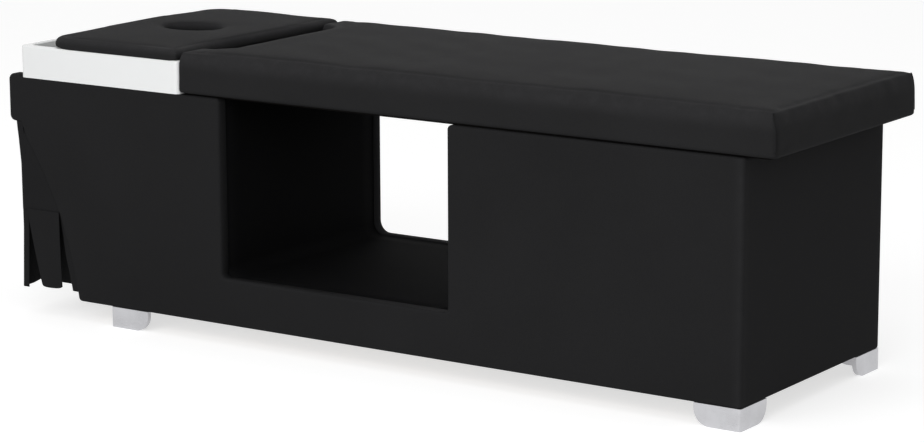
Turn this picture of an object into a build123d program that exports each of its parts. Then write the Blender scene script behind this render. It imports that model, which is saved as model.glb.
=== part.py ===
from build123d import *
import os

# A hair washing bed: a boxed base on four corner legs with a niche right through it, a long mattress,
# a basin let into the head end under a lift-off head pad, and a curtain that hides the plumbing bay.
# Millimetres. +X runs to the foot end, +Y across to the far side, +Z up. The origin is on the floor,
# under the middle of the whole length and width.

# Base
panel_length = 1890
mattress_overhang = 66
base_width = 600
leg_height = 46
base_height = 498
board = 18
pad_skin = 8
edge_round = 5
niche_from_head = 603
niche_length = 595
plinth_height = 103
near_notch_radius = 9
far_notch_radius = 28
lining_recess = 3
knee_setback = 192
knee_rise = 379
knee_bow = 28

# Head rail, which closes the head end above the curtain
rail_rise = 6
rail_height = 105
rail_top_round = 8
rail_nose_round = 14

# Battens inside the base
batten = 30
batten_height = 40
knee_batten_setback = 16
post_depth = 40
cross_rail_width = 40
cross_rail_height = 40
cleat_width = 18
bracket_leg = 36
bracket_thickness = 3
bracket_height = 60
bracket_drop = 14

# Screws that hold the boards
screw_length = 46
screw_radius = 2.2
screw_head_radius = 4.5
screw_head_height = 3
screw_edge = 70

# Legs
leg_reach = 106
leg_wall = 10
leg_end_round = 36
leg_corner_round = 5
head_leg_setback = 287
leg_plate_reach = 92
leg_plate_thickness = 6
leg_screw_length = 26
leg_screw_inset = 34

# Basin
basin_gap = 4
basin_length = 456
basin_rim_rise = 73
basin_wall = 16
basin_shell = 12
basin_corner = 12
tray_corner = 20
tray_depth = 61
bowl_head_margin = 78
bowl_foot_margin = 22
bowl_side_margin = 62
bowl_corner = 70
bowl_depth = 120
bowl_floor_length = 190
bowl_floor_half_width = 105
flank_depth_share = 0.55
flank_draw_share = 0.30
rim_round = 4
neck_half_width = 95
neck_depth = 38
neck_rest_thickness = 12
neck_rest_overlap = 14
neck_rest_skirt = 20
neck_rest_half_turn = 35
drain_from_foot = 216

# Waste
waste_hole_radius = 21
flange_radius = 34
flange_thickness = 3
waste_tube_wall = 3
waste_tube_length = 46
washer_radius = 32
washer_thickness = 4
backnut_radius = 31
backnut_thickness = 10
strainer_radius = 16.5
strainer_depth = 20
strainer_wall = 1.6
strainer_slots = 8
strainer_slot_width = 3
strainer_knob_radius = 5
strainer_knob_height = 9
strainer_lip = 6
tail_radius = 16
tail_wall = 2
tail_length = 96
slip_nut_radius = 23
slip_nut_height = 20
trap_radius = 30
trap_height = 112
trap_wall = 4
trap_dip = 34
outlet_drop = 32
outlet_length = 110
outlet_plain_length = 60
outlet_step = 0.5

# Mixer tap, low enough to stand under the head pad's level
mixer_foot_radius = 25
mixer_foot_height = 4
mixer_core_radius = 15
mixer_collar_height = 16
mixer_head_radius = 20
mixer_head_height = 16
mixer_stud_radius = 12
mixer_stud_length = 34
mixer_gap = 0.3
spout_collar_radius = 21
spout_reach = 104
spout_width = 17
spout_height = 11
aerator_radius = 7
aerator_height = 7
turret_radius = 14
turret_height = 3
turret_ear = 3
turret_ear_length = 14
turret_ear_height = 8
lever_length = 40
lever_tail = 6
lever_width = 10
lever_thickness = 4.4
lever_pin_radius = 1.5
lever_pin_gap = 0.06
stud_nut_radius = 19
stud_nut_height = 8
inlet_spacing = 11
inlet_spread = 46
inlet_tail_radius = 4.5
inlet_tail_length = 70
inlet_nut_radius = 8
inlet_nut_height = 14
inlet_thread_radius = 6.5
inlet_thread_length = 12

# Mattress
mattress_lap = 4
mattress_thickness = 97
mattress_lift = 4
mattress_board_inset = 16
mattress_crown = 5
mattress_edge_round = 22
mattress_board_corner = 9
cover_skin = 2
recess_wing = 89
recess_depth = 67
recess_corner = 52
recess_edge_round = 10
soft_gap = 0.5
mattress_screw_length = 46

# Head pad
pad_length = 380
pad_side_gap = 4
pad_rise = 27
pad_board_thickness = 9
pad_board_inset = 6
pad_crown = 4
pad_edge_round = 16
pad_mouth_round = 8
pad_head_corner = 58
pad_foot_corner = 16
pad_foot_gap = 3
seat_gap = 0.3
face_hole_length = 140
face_hole_width = 108
face_hole_from_foot = 195
stop_radius = 9
stop_height = 14
stop_inset = 24

# Curtain
cloth = 2
tack_strip_width = 14
tack_strip_thickness = 3
tack_strip_setback = 14
curtain_hem = 62
curtain_slit_top = 250
curtain_end_setback = 18
curtain_tuck = 9
curtain_fold_deep = 8
curtain_fold_slight = 1
curtain_folds = 7
curtain_return = 38
flap_width = 101
flap_hem_width = 86
flap_hem_shift = 33
flap_fold = 5
flap_clearance = 1

# Worked-out stations
overrun = 20
half_length = (panel_length + mattress_overhang) / 2
head_x = -half_length
base_foot_x = head_x + panel_length
mattress_foot_x = half_length
half_width = base_width / 2
base_bottom = leg_height
base_top = leg_height + base_height
panel = board + pad_skin
side_inner = half_width - panel
board_outer = half_width - pad_skin
rail_inner_x = head_x + board + 2 * pad_skin
rail_top = base_top + rail_rise
rail_bottom = rail_top - rail_height
niche_head_x = head_x + niche_from_head
niche_foot_x = niche_head_x + niche_length
niche_floor_z = base_bottom + plinth_height
wall_head_x = niche_head_x - pad_skin
wall_foot_x = niche_foot_x + pad_skin
knee_foot_x = head_x + knee_setback
knee_top_z = base_bottom + knee_rise
foot_board_x = base_foot_x - panel
batten_top = base_bottom + batten_height
batten_head_x = knee_foot_x + knee_batten_setback
basin_head_x = rail_inner_x + basin_gap
basin_foot_x = basin_head_x + basin_length
rim_z = base_top + basin_rim_rise
tray_z = rim_z - tray_depth
bowl_head_x = basin_head_x + bowl_head_margin
bowl_foot_x = basin_foot_x - bowl_foot_margin
bowl_floor_z = tray_z - bowl_depth
bowl_half_width = half_width - bowl_side_margin
drain_x = basin_foot_x - drain_from_foot
mixer_x = (basin_head_x + basin_wall + bowl_head_x) / 2
mattress_head_x = basin_foot_x + soft_gap
mattress_half = half_width + mattress_lap
recess_half = mattress_half - recess_wing
mattress_bottom = base_top + mattress_lift
mattress_top = mattress_bottom + mattress_thickness
mattress_board_top = base_top + board
pad_foot_x = basin_foot_x - pad_foot_gap
pad_head_x = pad_foot_x - pad_length
pad_half = half_width - pad_side_gap
pad_bottom = rim_z + seat_gap
pad_top = pad_bottom + pad_rise
face_hole_x = pad_foot_x - face_hole_from_foot
basin_rail_x = basin_foot_x - bowl_foot_margin + basin_shell + basin_gap
foot_rail_x = (wall_foot_x + board + foot_board_x) / 2
near_side = -1
far_side = 1


# Shapes shared by the sub-parts

def block(x0, x1, y0, y1, z0, z1):
    """A box between two corners."""
    middle = Pos((x0 + x1) / 2, (y0 + y1) / 2, (z0 + z1) / 2)
    return middle * Box(x1 - x0, y1 - y0, z1 - z0)


def rod(x, y, z0, z1, radius):
    """An upright round bar from one height to another."""
    return Pos(x, y, (z0 + z1) / 2) * Cylinder(radius, z1 - z0)


def rod_along_y(x, y0, y1, z, radius):
    """A round bar lying across the bed."""
    return Pos(x, (y0 + y1) / 2, z) * Rot(X=90) * Cylinder(radius, abs(y1 - y0))


def across(face, y0, y1):
    """A face drawn in X and Z, carried across the bed from y0 to y1."""
    return extrude(Plane.XZ.offset(-y1) * face, amount=y1 - y0)


def along(face, x0, x1):
    """A face drawn in Y and Z, carried along the bed from x0 to x1."""
    return extrude(Plane.YZ.offset(x0) * face, amount=x1 - x0)


def upward(face, z0, z1):
    """A face drawn in plan, carried up from z0 to z1."""
    return extrude(Plane.XY.offset(z0) * face, amount=z1 - z0)


def rounded_plan(x0, x1, half, corner):
    """A rectangle in plan with rounded corners, even about the middle line."""
    return Pos((x0 + x1) / 2, 0) * RectangleRounded(x1 - x0, 2 * half, corner)


def polygon(*points):
    """A closed straight-sided face."""
    return make_face(Polyline(*points, close=True))


def group(pieces):
    """Separate solids kept together as one sub-part."""
    return Compound([solid for piece in pieces for solid in piece.solids()])


def bowed_middle(start, end, bow):
    """The middle point of an arc that bows to the left of the line from start to end."""
    chord = Vector(*end) - Vector(*start)
    middle = (Vector(*start) + Vector(*end)) * 0.5
    return middle + Vector(-chord.Y, chord.X).normalized() * bow


# Base boards and their padded covers

def niche_notch(corner, growth=0):
    """The niche's outline in X and Z, open at the top, with rounded lower corners."""
    low = niche_floor_z - growth
    sides = (niche_head_x - growth, niche_foot_x + growth)
    top = base_top + overrun
    notch = polygon((sides[0], low), (sides[1], low), (sides[1], top), (sides[0], top))
    return fillet(notch.vertices().group_by(Axis.Y)[0], corner)


def side_outline(notch_corner):
    """A side panel in X and Z: head block, low plinth and foot block, with the knee arc cut away."""
    knee_foot = (knee_foot_x, base_bottom)
    knee_head = (rail_inner_x, knee_top_z)
    knee_arc = ThreePointArc(knee_head, bowed_middle(knee_head, knee_foot, knee_bow), knee_foot)
    straight = Polyline(knee_foot, (base_foot_x, base_bottom), (base_foot_x, base_top),
                        (rail_inner_x, base_top), knee_head)
    return make_face(straight + knee_arc) - niche_notch(notch_corner)


def side_board(side, notch_corner):
    """The bare board of one side, which stands a cover's thickness inside the panel's edges."""
    outline = offset(side_outline(notch_corner), -pad_skin, kind=Kind.INTERSECTION)
    faces = sorted((side * side_inner, side * board_outer))
    return across(outline, *faces)


def foot_corner_mitre(side):
    """The half of a foot corner that belongs to the foot end's cover, as a prism in plan."""
    corner = (base_foot_x, side * half_width)
    inner = (foot_board_x, side * side_inner)
    square = (base_foot_x, side * side_inner)
    return upward(polygon(corner, inner, square), base_bottom - overrun, base_top + overrun)


def side_corner_mitre(side):
    """The half of a foot corner that belongs to the side's cover, as a prism in plan."""
    corner = (base_foot_x, side * half_width)
    inner = (foot_board_x, side * side_inner)
    square = (foot_board_x, side * half_width)
    return upward(polygon(corner, inner, square), base_bottom - overrun, base_top + overrun)


def side_cover(side, notch_corner, boards):
    """The padded leatherette of one side, rounded at its outer edges and mitred at the foot corner."""
    outer = side * half_width
    faces = sorted((side * side_inner, outer))
    solid = across(side_outline(notch_corner), *faces)
    rim = solid.edges().filter_by(lambda e: abs(e.center().Y - outer) < edge_round / 2)
    solid = fillet(rim, edge_round)
    solid -= foot_corner_mitre(side)
    for piece in boards:
        solid -= piece
    return solid


def foot_end_board():
    """The board that closes the foot end, between the two side boards."""
    return block(foot_board_x, base_foot_x - pad_skin, -side_inner, side_inner,
                 base_bottom + pad_skin, base_top - pad_skin)


def foot_end_cover(boards):
    """The foot end's padded leatherette, mitred into both sides."""
    solid = block(foot_board_x, base_foot_x, -half_width, half_width, base_bottom, base_top)
    rim = solid.faces().sort_by(Axis.X)[-1].edges()
    solid = fillet(rim, edge_round)
    for side in (near_side, far_side):
        solid -= side_corner_mitre(side)
    for piece in boards:
        solid -= piece
    return solid


def head_rail_board():
    """The board of the head rail."""
    return block(head_x + pad_skin, rail_inner_x - pad_skin, -board_outer, board_outer,
                 rail_bottom + pad_skin, rail_top - pad_skin)


def head_rail_cover():
    """The head rail's leatherette, padded all round the board, with a rounded lower nose."""
    section = polygon((head_x, rail_bottom), (rail_inner_x, rail_bottom), (rail_inner_x, rail_top),
                      (head_x, rail_top))
    tops = section.vertices().group_by(Axis.Y)[-1]
    section = fillet(tops, rail_top_round)
    nose = section.vertices().group_by(Axis.Y)[0].sort_by(Axis.X)[0]
    section = fillet(nose, rail_nose_round)
    solid = across(section, -half_width, half_width)
    ends = solid.faces().sort_by(Axis.Y)[0].edges() + solid.faces().sort_by(Axis.Y)[-1].edges()
    return fillet(ends, edge_round) - head_rail_board()


def niche_lining():
    """The lining of the niche's floor and walls, with a coved corner along each side."""
    low = niche_floor_z - pad_skin
    outer = polygon((wall_head_x, low), (wall_foot_x, low), (wall_foot_x, base_top),
                    (wall_head_x, base_top))
    return across(outer - niche_notch(far_notch_radius, lining_recess), -side_inner, side_inner)


def niche_walls():
    """The two cross walls and the floor board behind the lining."""
    floor_top = niche_floor_z - pad_skin
    head_wall = block(wall_head_x - board, wall_head_x, -side_inner, side_inner, batten_top, base_top)
    foot_wall = block(wall_foot_x, wall_foot_x + board, -side_inner, side_inner, batten_top, base_top)
    floor = block(wall_head_x, wall_foot_x, -side_inner, side_inner, floor_top - board, floor_top)
    return head_wall, foot_wall, floor


def bottom_batten(side):
    """The long batten inside the bottom edge of one side, which carries the legs."""
    faces = sorted((side * side_inner, side * (side_inner - batten)))
    return block(batten_head_x, foot_board_x, *faces, base_bottom, batten_top)


def knee_batten():
    """The cross batten that ties the two long ones at the knee end."""
    reach = side_inner - batten
    return block(batten_head_x, batten_head_x + batten, -reach, reach, base_bottom, batten_top)


def foot_post(side):
    """The upright post in one foot corner."""
    faces = sorted((side * side_inner, side * (side_inner - batten)))
    return block(foot_board_x - post_depth, foot_board_x, *faces, batten_top, base_top)


def cross_rail(x):
    """A rail across the base under the mattress, starting at x."""
    return block(x, x + cross_rail_width, -side_inner, side_inner, base_top - cross_rail_height, base_top)


def basin_cleat(side):
    """The cleat on the inside of a side board that the basin sits on."""
    faces = sorted((side * side_inner, side * (side_inner - cleat_width)))
    head = rail_inner_x + bracket_leg + basin_gap
    return block(head, basin_rail_x, *faces, base_top - cross_rail_height, base_top)


def rail_brackets():
    """The two steel angles that tie the head rail to the side boards."""
    pair = []
    high = base_top - bracket_drop
    low = high - bracket_height
    for side in (near_side, far_side):
        wall = sorted((side * side_inner, side * (side_inner - bracket_leg)))
        skin = sorted((side * side_inner, side * (side_inner - bracket_thickness)))
        angle = block(rail_inner_x, rail_inner_x + bracket_thickness, *wall, low, high)
        angle += block(rail_inner_x, rail_inner_x + bracket_leg, *skin, low, high)
        pair.append(angle)
    return group(pair)


def carcass_screws():
    """The countersunk screws through the side boards into walls, rails and posts, and their places."""
    low = batten_top + screw_edge
    high = base_top - screw_edge
    rail_middle = base_top - cross_rail_height / 2
    places = [(wall_head_x - board / 2, low), (wall_head_x - board / 2, high),
              (wall_foot_x + board / 2, low), (wall_foot_x + board / 2, high),
              (basin_rail_x + cross_rail_width / 2, rail_middle),
              (foot_rail_x + cross_rail_width / 2, rail_middle),
              (foot_board_x - post_depth / 2, low), (foot_board_x - post_depth / 2, high)]
    screws = []
    for side in (near_side, far_side):
        outer = side * board_outer
        neck = outer - side * screw_head_height
        for x, z in places:
            screw = rod_along_y(x, outer, neck, z, screw_head_radius)
            screws.append(screw + rod_along_y(x, neck, outer - side * screw_length, z, screw_radius))
    return group(screws)


# Legs

def corner_leg(corner_x, side, heading):
    """An L of polished metal under a corner: two arms with a large round at each lower free end."""
    arms = []
    for turn in (0, 1):
        arm = polygon((0, 0), (leg_reach, 0), (leg_reach, base_bottom), (0, base_bottom))
        free_end = arm.vertices().group_by(Axis.Y)[0].sort_by(Axis.X)[-1]
        arm = across(fillet(free_end, leg_end_round), 0, leg_wall)
        arms.append(mirror(Rot(Z=90) * arm, Plane.YZ) if turn else arm)
    leg = arms[0] + arms[1]
    heel = leg.edges().filter_by(Axis.Z).filter_by(lambda e: abs(e.center().X) + abs(e.center().Y) < leg_wall / 2)
    leg = fillet(heel, leg_corner_round)
    if heading < 0:
        leg = mirror(leg, Plane.YZ)
    if side > 0:
        leg = mirror(leg, Plane.XZ)
    return Pos(corner_x, side * half_width) * leg


def leg_corners():
    """Each leg's corner, the side it stands on, and the way its long arm points."""
    head_corner = head_x + head_leg_setback
    return {"near_head_leg": (head_corner, near_side, 1), "far_head_leg": (head_corner, far_side, 1),
            "near_end_leg": (base_foot_x, near_side, -1), "far_end_leg": (base_foot_x, far_side, -1)}


def leg_plates_and_screws():
    """The black plate that ties each leg to the battens, and the screws through it."""
    plates = []
    screws = []
    for corner_x, side, heading in leg_corners().values():
        x = sorted((corner_x + heading * leg_wall, corner_x + heading * leg_plate_reach))
        y = sorted((side * (half_width - leg_wall), side * (half_width - leg_plate_reach)))
        plate = block(*x, *y, base_bottom - leg_plate_thickness, base_bottom)
        screw_y = side * (side_inner - batten / 2)
        for step in (leg_screw_inset, leg_plate_reach - leg_screw_inset / 2):
            screw_x = corner_x + heading * step
            low = base_bottom - leg_plate_thickness
            screw = rod(screw_x, screw_y, low - screw_head_height, low, screw_head_radius)
            screw += rod(screw_x, screw_y, low, low + leg_screw_length, screw_radius)
            plate -= screw
            screws.append(screw)
        plates.append(plate)
    return group(plates), group(screws)


# Basin

def bowl_section(z, share, growth):
    """The bowl's outline in plan at one height: share 0 is its mouth and share 1 its floor."""
    floor_head = drain_x - bowl_floor_length / 2
    floor_foot = drain_x + bowl_floor_length / 2
    x0 = bowl_head_x + (floor_head - bowl_head_x) * share - growth
    x1 = bowl_foot_x + (floor_foot - bowl_foot_x) * share + growth
    half = bowl_half_width + (bowl_floor_half_width - bowl_half_width) * share + growth
    return Plane.XY.offset(z) * rounded_plan(x0, x1, half, bowl_corner + growth)


def bowl_form(growth):
    """The bowl as a smooth loft through its mouth, its flank and its floor."""
    flank_z = tray_z - bowl_depth * flank_depth_share
    floor_z = bowl_floor_z - growth
    return loft([bowl_section(tray_z, 0, growth), bowl_section(flank_z, flank_draw_share, growth),
                 bowl_section(floor_z, 1, growth)])


def neck_dip(x0, x1, growth, top):
    """The dip for the neck in the basin's foot wall: a shallow arc carried along the bed."""
    reach = neck_half_width + growth
    low = rim_z - neck_depth - growth
    arc = ThreePointArc((-reach, rim_z), (0, low), (reach, rim_z))
    lid = Polyline((reach, rim_z), (reach, top), (-reach, top), (-reach, rim_z))
    return along(make_face(arc + lid), x0, x1)


def basin():
    """The glazed basin: a square skirt flush with the base, a shelf for the tap and a deep bowl."""
    skirt = upward(rounded_plan(basin_head_x, basin_foot_x, half_width, basin_corner), base_top, rim_z)
    solid = skirt + bowl_form(basin_shell)
    tray = rounded_plan(basin_head_x + basin_wall, basin_foot_x - basin_wall, half_width - basin_wall,
                        tray_corner)
    solid -= upward(tray, tray_z, rim_z + overrun)
    solid -= bowl_form(0)
    rim = solid.faces().sort_by(Axis.Z)[-1].edges()
    solid = fillet(rim, rim_round)
    solid -= neck_dip(basin_foot_x - 2 * basin_wall, basin_foot_x + overrun, 0, rim_z + overrun)
    solid -= rod(drain_x, 0, bowl_floor_z - 2 * basin_shell, tray_z, waste_hole_radius)
    solid -= rod(mixer_x, 0, tray_z - 2 * basin_shell, rim_z, mixer_stud_radius)
    return solid


def neck_rest():
    """The soft rubber saddle: a channel that hooks over the foot wall, turned along the dip's arc."""
    dip_radius = (neck_half_width ** 2 + neck_depth ** 2) / (2 * neck_depth)
    seat = rim_z - neck_depth + seat_gap
    low = seat - neck_rest_skirt
    high = seat + neck_rest_thickness
    wall = (basin_foot_x - basin_wall - seat_gap, basin_foot_x + seat_gap)
    sides = (basin_foot_x - basin_wall - neck_rest_overlap, basin_foot_x + neck_rest_overlap)
    channel = polygon((sides[0], low), (wall[0], low), (wall[0], seat), (wall[1], seat), (wall[1], low),
                      (sides[1], low), (sides[1], high), (sides[0], high))
    channel = fillet(channel.vertices().group_by(Axis.Y)[-1], neck_rest_thickness / 2)
    turning = Axis((0, 0, rim_z - neck_depth + dip_radius), (1, 0, 0))
    saddle = revolve(Plane.XZ * channel, axis=turning, revolution_arc=2 * neck_rest_half_turn)
    return saddle.rotate(turning, -neck_rest_half_turn)


# Waste

def waste_flange():
    """The polished flange in the bowl's floor with its threaded tube."""
    tube_low = bowl_floor_z - waste_tube_length
    body = rod(drain_x, 0, bowl_floor_z, bowl_floor_z + flange_thickness, flange_radius)
    body += rod(drain_x, 0, tube_low, bowl_floor_z, waste_hole_radius)
    return body - rod(drain_x, 0, tube_low, bowl_floor_z + flange_thickness,
                      waste_hole_radius - waste_tube_wall)


def ring(z0, z1, outer, inner):
    """An upright ring about the drain's axis."""
    return rod(drain_x, 0, z0, z1, outer) - rod(drain_x, 0, z0, z1, inner)


def hair_strainer():
    """The lift-out cup that catches hair: a lip, a slotted wall and a knob on its floor."""
    lip_z = bowl_floor_z + flange_thickness + seat_gap
    low = lip_z - strainer_depth
    cup = rod(drain_x, 0, low, lip_z, strainer_radius)
    cup -= rod(drain_x, 0, low + strainer_wall, lip_z, strainer_radius - strainer_wall)
    lip_ring = strainer_radius + strainer_lip
    cup += ring(lip_z, lip_z + strainer_wall, lip_ring, strainer_radius - strainer_wall)
    cup += rod(drain_x, 0, low, low + strainer_knob_height, strainer_knob_radius)
    for count in range(strainer_slots):
        slot = block(strainer_radius / 2, strainer_radius + strainer_wall,
                     -strainer_slot_width / 2, strainer_slot_width / 2,
                     low + 2 * strainer_wall, lip_z - 2 * strainer_wall)
        cup -= Pos(drain_x, 0, 0) * Rot(Z=360 * count / strainer_slots) * slot
    return cup


def hexagon(z0, z1, across_corners, bore):
    """A six-sided nut about the drain's axis."""
    flat = Pos(drain_x, 0) * RegularPolygon(across_corners, 6)
    return upward(flat, z0, z1) - rod(drain_x, 0, z0, z1, bore)


def waste_run():
    """What hangs under the bowl: washer, back nut, tail pipe, bottle trap, slip nuts and outlet."""
    shell_z = bowl_floor_z - basin_shell
    washer_low = shell_z - washer_thickness
    nut_low = washer_low - backnut_thickness
    tube_low = bowl_floor_z - waste_tube_length
    tail_low = tube_low - tail_length
    trap_high = tail_low + trap_dip + slip_nut_height / 2
    trap_low = trap_high - trap_height
    outlet_z = trap_high - outlet_drop
    outlet_x = drain_x - trap_radius
    washer = ring(washer_low, shell_z, washer_radius, waste_hole_radius)
    backnut = hexagon(nut_low, washer_low, backnut_radius, waste_hole_radius)
    tail = ring(tail_low, tube_low, tail_radius, tail_radius - tail_wall)
    trap = rod(drain_x, 0, trap_low, trap_high, trap_radius)
    trap = fillet(trap.edges().sort_by(Axis.Z)[0], trap_wall)
    trap -= rod(drain_x, 0, trap_low + trap_wall, trap_high - trap_wall, trap_radius - trap_wall)
    trap -= rod(drain_x, 0, trap_low + trap_wall, trap_high, tail_radius)
    bore = Pos(outlet_x, 0, outlet_z) * Rot(Y=90) * Cylinder(tail_radius, 2 * trap_wall + 2 * tail_wall)
    trap -= bore
    upper_nut = ring(tube_low - slip_nut_height / 2, tube_low + slip_nut_height / 2, slip_nut_radius, tail_radius)
    upper_nut -= rod(drain_x, 0, tube_low, tube_low + slip_nut_height, waste_hole_radius)
    lower_nut = ring(trap_high, trap_high + slip_nut_height, slip_nut_radius, tail_radius)
    outlet_nut = Pos(outlet_x - slip_nut_height / 2, 0, outlet_z) * Rot(Y=90) * (
        Cylinder(slip_nut_radius, slip_nut_height) - Cylinder(tail_radius, slip_nut_height))
    outlet_nut -= rod(drain_x, 0, trap_low, trap_high, trap_radius)
    outlet_start = outlet_x + trap_wall / 2
    outlet_end = outlet_start - outlet_length
    outlet = Pos((outlet_start + outlet_end) / 2, 0, outlet_z) * Rot(Y=90) * (
        Cylinder(tail_radius - outlet_step, outlet_length))
    outlet += Pos(outlet_end + outlet_plain_length / 2, 0, outlet_z) * Rot(Y=90) * (
        Cylinder(tail_radius, outlet_plain_length))
    outlet -= Pos((outlet_start + outlet_end) / 2, 0, outlet_z) * Rot(Y=90) * (
        Cylinder(tail_radius - tail_wall, outlet_length))
    nuts = group([upper_nut, lower_nut, outlet_nut])
    return {"waste_washer": washer, "waste_backnut": backnut, "tail_pipe": tail, "bottle_trap": trap,
            "slip_nuts": nuts, "waste_outlet": outlet}


# Mixer tap

def mixer_levels():
    """The heights where the tap's collar, head and lever seat begin."""
    collar = tray_z + mixer_foot_height
    head = collar + mixer_collar_height
    seat = head + mixer_head_height
    return collar, head, seat


def mixer_body():
    """The tap's body: a foot on the shelf, a core that the spout turns on, a head and a stud below."""
    collar, head, seat = mixer_levels()
    body = rod(mixer_x, 0, tray_z, collar, mixer_foot_radius)
    body += rod(mixer_x, 0, collar, head, mixer_core_radius)
    top = rod(mixer_x, 0, head, seat, mixer_head_radius)
    body += fillet(top.edges().sort_by(Axis.Z)[-1], mixer_foot_height / 2)
    body += rod(mixer_x, 0, tray_z - mixer_stud_length, tray_z, mixer_stud_radius)
    for side in (near_side, far_side):
        body -= rod(mixer_x, side * inlet_spacing / 2, tray_z - mixer_stud_length, tray_z, inlet_tail_radius)
    return body


def mixer_spout():
    """The spout: a collar round the core and a flat arm that reaches over the bowl."""
    collar, head, seat = mixer_levels()
    low = collar + mixer_gap
    high = head - mixer_gap
    middle = (low + high) / 2
    body = rod(mixer_x, 0, low, high, spout_collar_radius)
    arm_face = SlotOverall(spout_reach + spout_width, spout_width)
    arm = Pos(mixer_x + spout_reach / 2, 0) * arm_face
    body += upward(arm, middle - spout_height / 2, middle + spout_height / 2)
    return body - rod(mixer_x, 0, low, high, mixer_core_radius + mixer_gap)


def aerator():
    """The aerator screwed into the underside of the spout's tip."""
    collar, head, seat = mixer_levels()
    low = (collar + head) / 2 - spout_height / 2
    body = rod(mixer_x + spout_reach, 0, low - aerator_height, low, aerator_radius)
    return body - rod(mixer_x + spout_reach, 0, low - aerator_height, low - aerator_height / 2, aerator_radius / 2)


def lever_axis_z():
    """The height of the pin that the lever rocks on."""
    seat = mixer_levels()[2]
    return seat + mixer_gap + turret_height + turret_ear_height / 2


def mixer_turret():
    """The turning stem on the head: a disc with two ears that hold the lever's pin."""
    seat = mixer_levels()[2] + mixer_gap
    body = rod(mixer_x, 0, seat, seat + turret_height, turret_radius)
    gap = lever_width / 2 + mixer_gap
    for side in (near_side, far_side):
        ear = sorted((side * gap, side * (gap + turret_ear)))
        body += block(mixer_x + ear[0], mixer_x + ear[1], -turret_ear_length / 2, turret_ear_length / 2,
                      seat + turret_height, seat + turret_height + turret_ear_height)
    reach = gap + turret_ear + overrun
    bore = Pos(mixer_x, 0, lever_axis_z()) * Rot(Y=90) * Cylinder(lever_pin_radius, 2 * reach)
    return body - bore


def lever_pin():
    """The pin through the ears and the lever."""
    reach = lever_width / 2 + mixer_gap + turret_ear
    return Pos(mixer_x, 0, lever_axis_z()) * Rot(Y=90) * Cylinder(lever_pin_radius, 2 * reach)


def mixer_lever():
    """The flat lever, round at its tip, that points to the near side."""
    z = lever_axis_z()
    face = Pos(mixer_x, (lever_tail - lever_length) / 2) * SlotOverall(lever_length + lever_tail, lever_width,
                                                                     rotation=90)
    body = upward(face, z - lever_thickness / 2, z + lever_thickness / 2)
    bore = Pos(mixer_x, 0, z) * Rot(Y=90) * Cylinder(lever_pin_radius + lever_pin_gap, 2 * lever_width)
    return body - bore


def stud_nut():
    """The nut that pulls the tap down onto the shelf, from below."""
    low = base_top - stud_nut_height
    flat = Pos(mixer_x, 0) * RegularPolygon(stud_nut_radius, 6)
    return upward(flat, low, base_top) - rod(mixer_x, 0, low, base_top, mixer_stud_radius)


def inlet_tail(side):
    """One copper tail: down out of the stud and splayed outward to its coupling."""
    y = side * inlet_spacing / 2
    spread = side * inlet_spread / 2
    high = tray_z - mixer_stud_length / 2
    bend = tray_z - mixer_stud_length
    low = bend - inlet_tail_length
    middle = (bend + low) / 2
    splay = Bezier((mixer_x, y, bend), (mixer_x, y, middle), (mixer_x, spread, middle), (mixer_x, spread, low))
    path = Line((mixer_x, y, high), (mixer_x, y, bend)) + splay
    return sweep(Plane.XY.offset(high) * Pos(mixer_x, y) * Circle(inlet_tail_radius), path=path)


def water_inlets():
    """The hot and cold tails under the tap, each with its nut and threaded end."""
    tails = []
    for side in (near_side, far_side):
        spread = side * inlet_spread / 2
        nut_high = tray_z - mixer_stud_length - inlet_tail_length
        nut_low = nut_high - inlet_nut_height
        tail = inlet_tail(side)
        tail += rod(mixer_x, spread, nut_low, nut_high, inlet_nut_radius)
        tail += rod(mixer_x, spread, nut_low - inlet_thread_length, nut_low, inlet_thread_radius)
        tails.append(tail)
    return group(tails)


# Mattress

def mattress_recess(inset, low, high):
    """The neck recess in the mattress's head end, as an upright prism that runs out past it."""
    back = mattress_head_x + recess_depth + inset
    reach = recess_half + inset
    solid = block(mattress_head_x - overrun, back, -reach, reach, low, high)
    return fillet(solid.edges().filter_by(Axis.Z).group_by(Axis.X)[-1], recess_corner + inset)


def crown_blank(x0, x1, half, low, edge_top, crown):
    """A block whose top is arched across the bed: it shapes a cushion's crown."""
    arch = ThreePointArc((half, edge_top), (0, edge_top + crown), (-half, edge_top))
    sides = Polyline((-half, edge_top), (-half, low), (half, low), (half, edge_top))
    return along(make_face(arch + sides), x0, x1)


def crowned(solid, half, top, crown, edge):
    """A cushion from an upright block: arched across the bed and rounded along its upper edge."""
    box = solid.bounding_box()
    solid &= crown_blank(box.min.X - overrun, box.max.X + overrun, half, box.min.Z - overrun, top - crown, crown)
    return fillet(solid.faces().sort_by(Axis.Z)[-1].edges(), edge)


def recess_mouth(solid, inset, low):
    """The edges of the neck recess: up one side of its mouth, round its top and down the other."""
    near_face = mattress_head_x + inset + cover_skin / 2
    back = mattress_head_x + recess_depth + inset + cover_skin / 2
    reach = recess_half + inset + cover_skin / 2
    upper = mattress_top - mattress_crown - mattress_edge_round

    def on_mouth(edge):
        place = edge.center()
        inside = place.X < back and abs(place.Y) < reach and place.Z > low + cover_skin
        return inside and (place.X < near_face or place.Z > upper)

    return solid.edges().filter_by(on_mouth)


def mattress_form(inset, low):
    """The mattress cushion drawn in by an inset on every side but its underside."""
    x0 = mattress_head_x + inset
    x1 = mattress_foot_x - inset
    half = mattress_half - inset
    high = mattress_top + overrun
    solid = crowned(block(x0, x1, -half, half, low, high), half, mattress_top - inset, mattress_crown,
                    mattress_edge_round - inset)
    solid -= mattress_recess(inset, low - overrun, high)
    return fillet(recess_mouth(solid, inset, low), recess_edge_round - inset)


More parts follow.
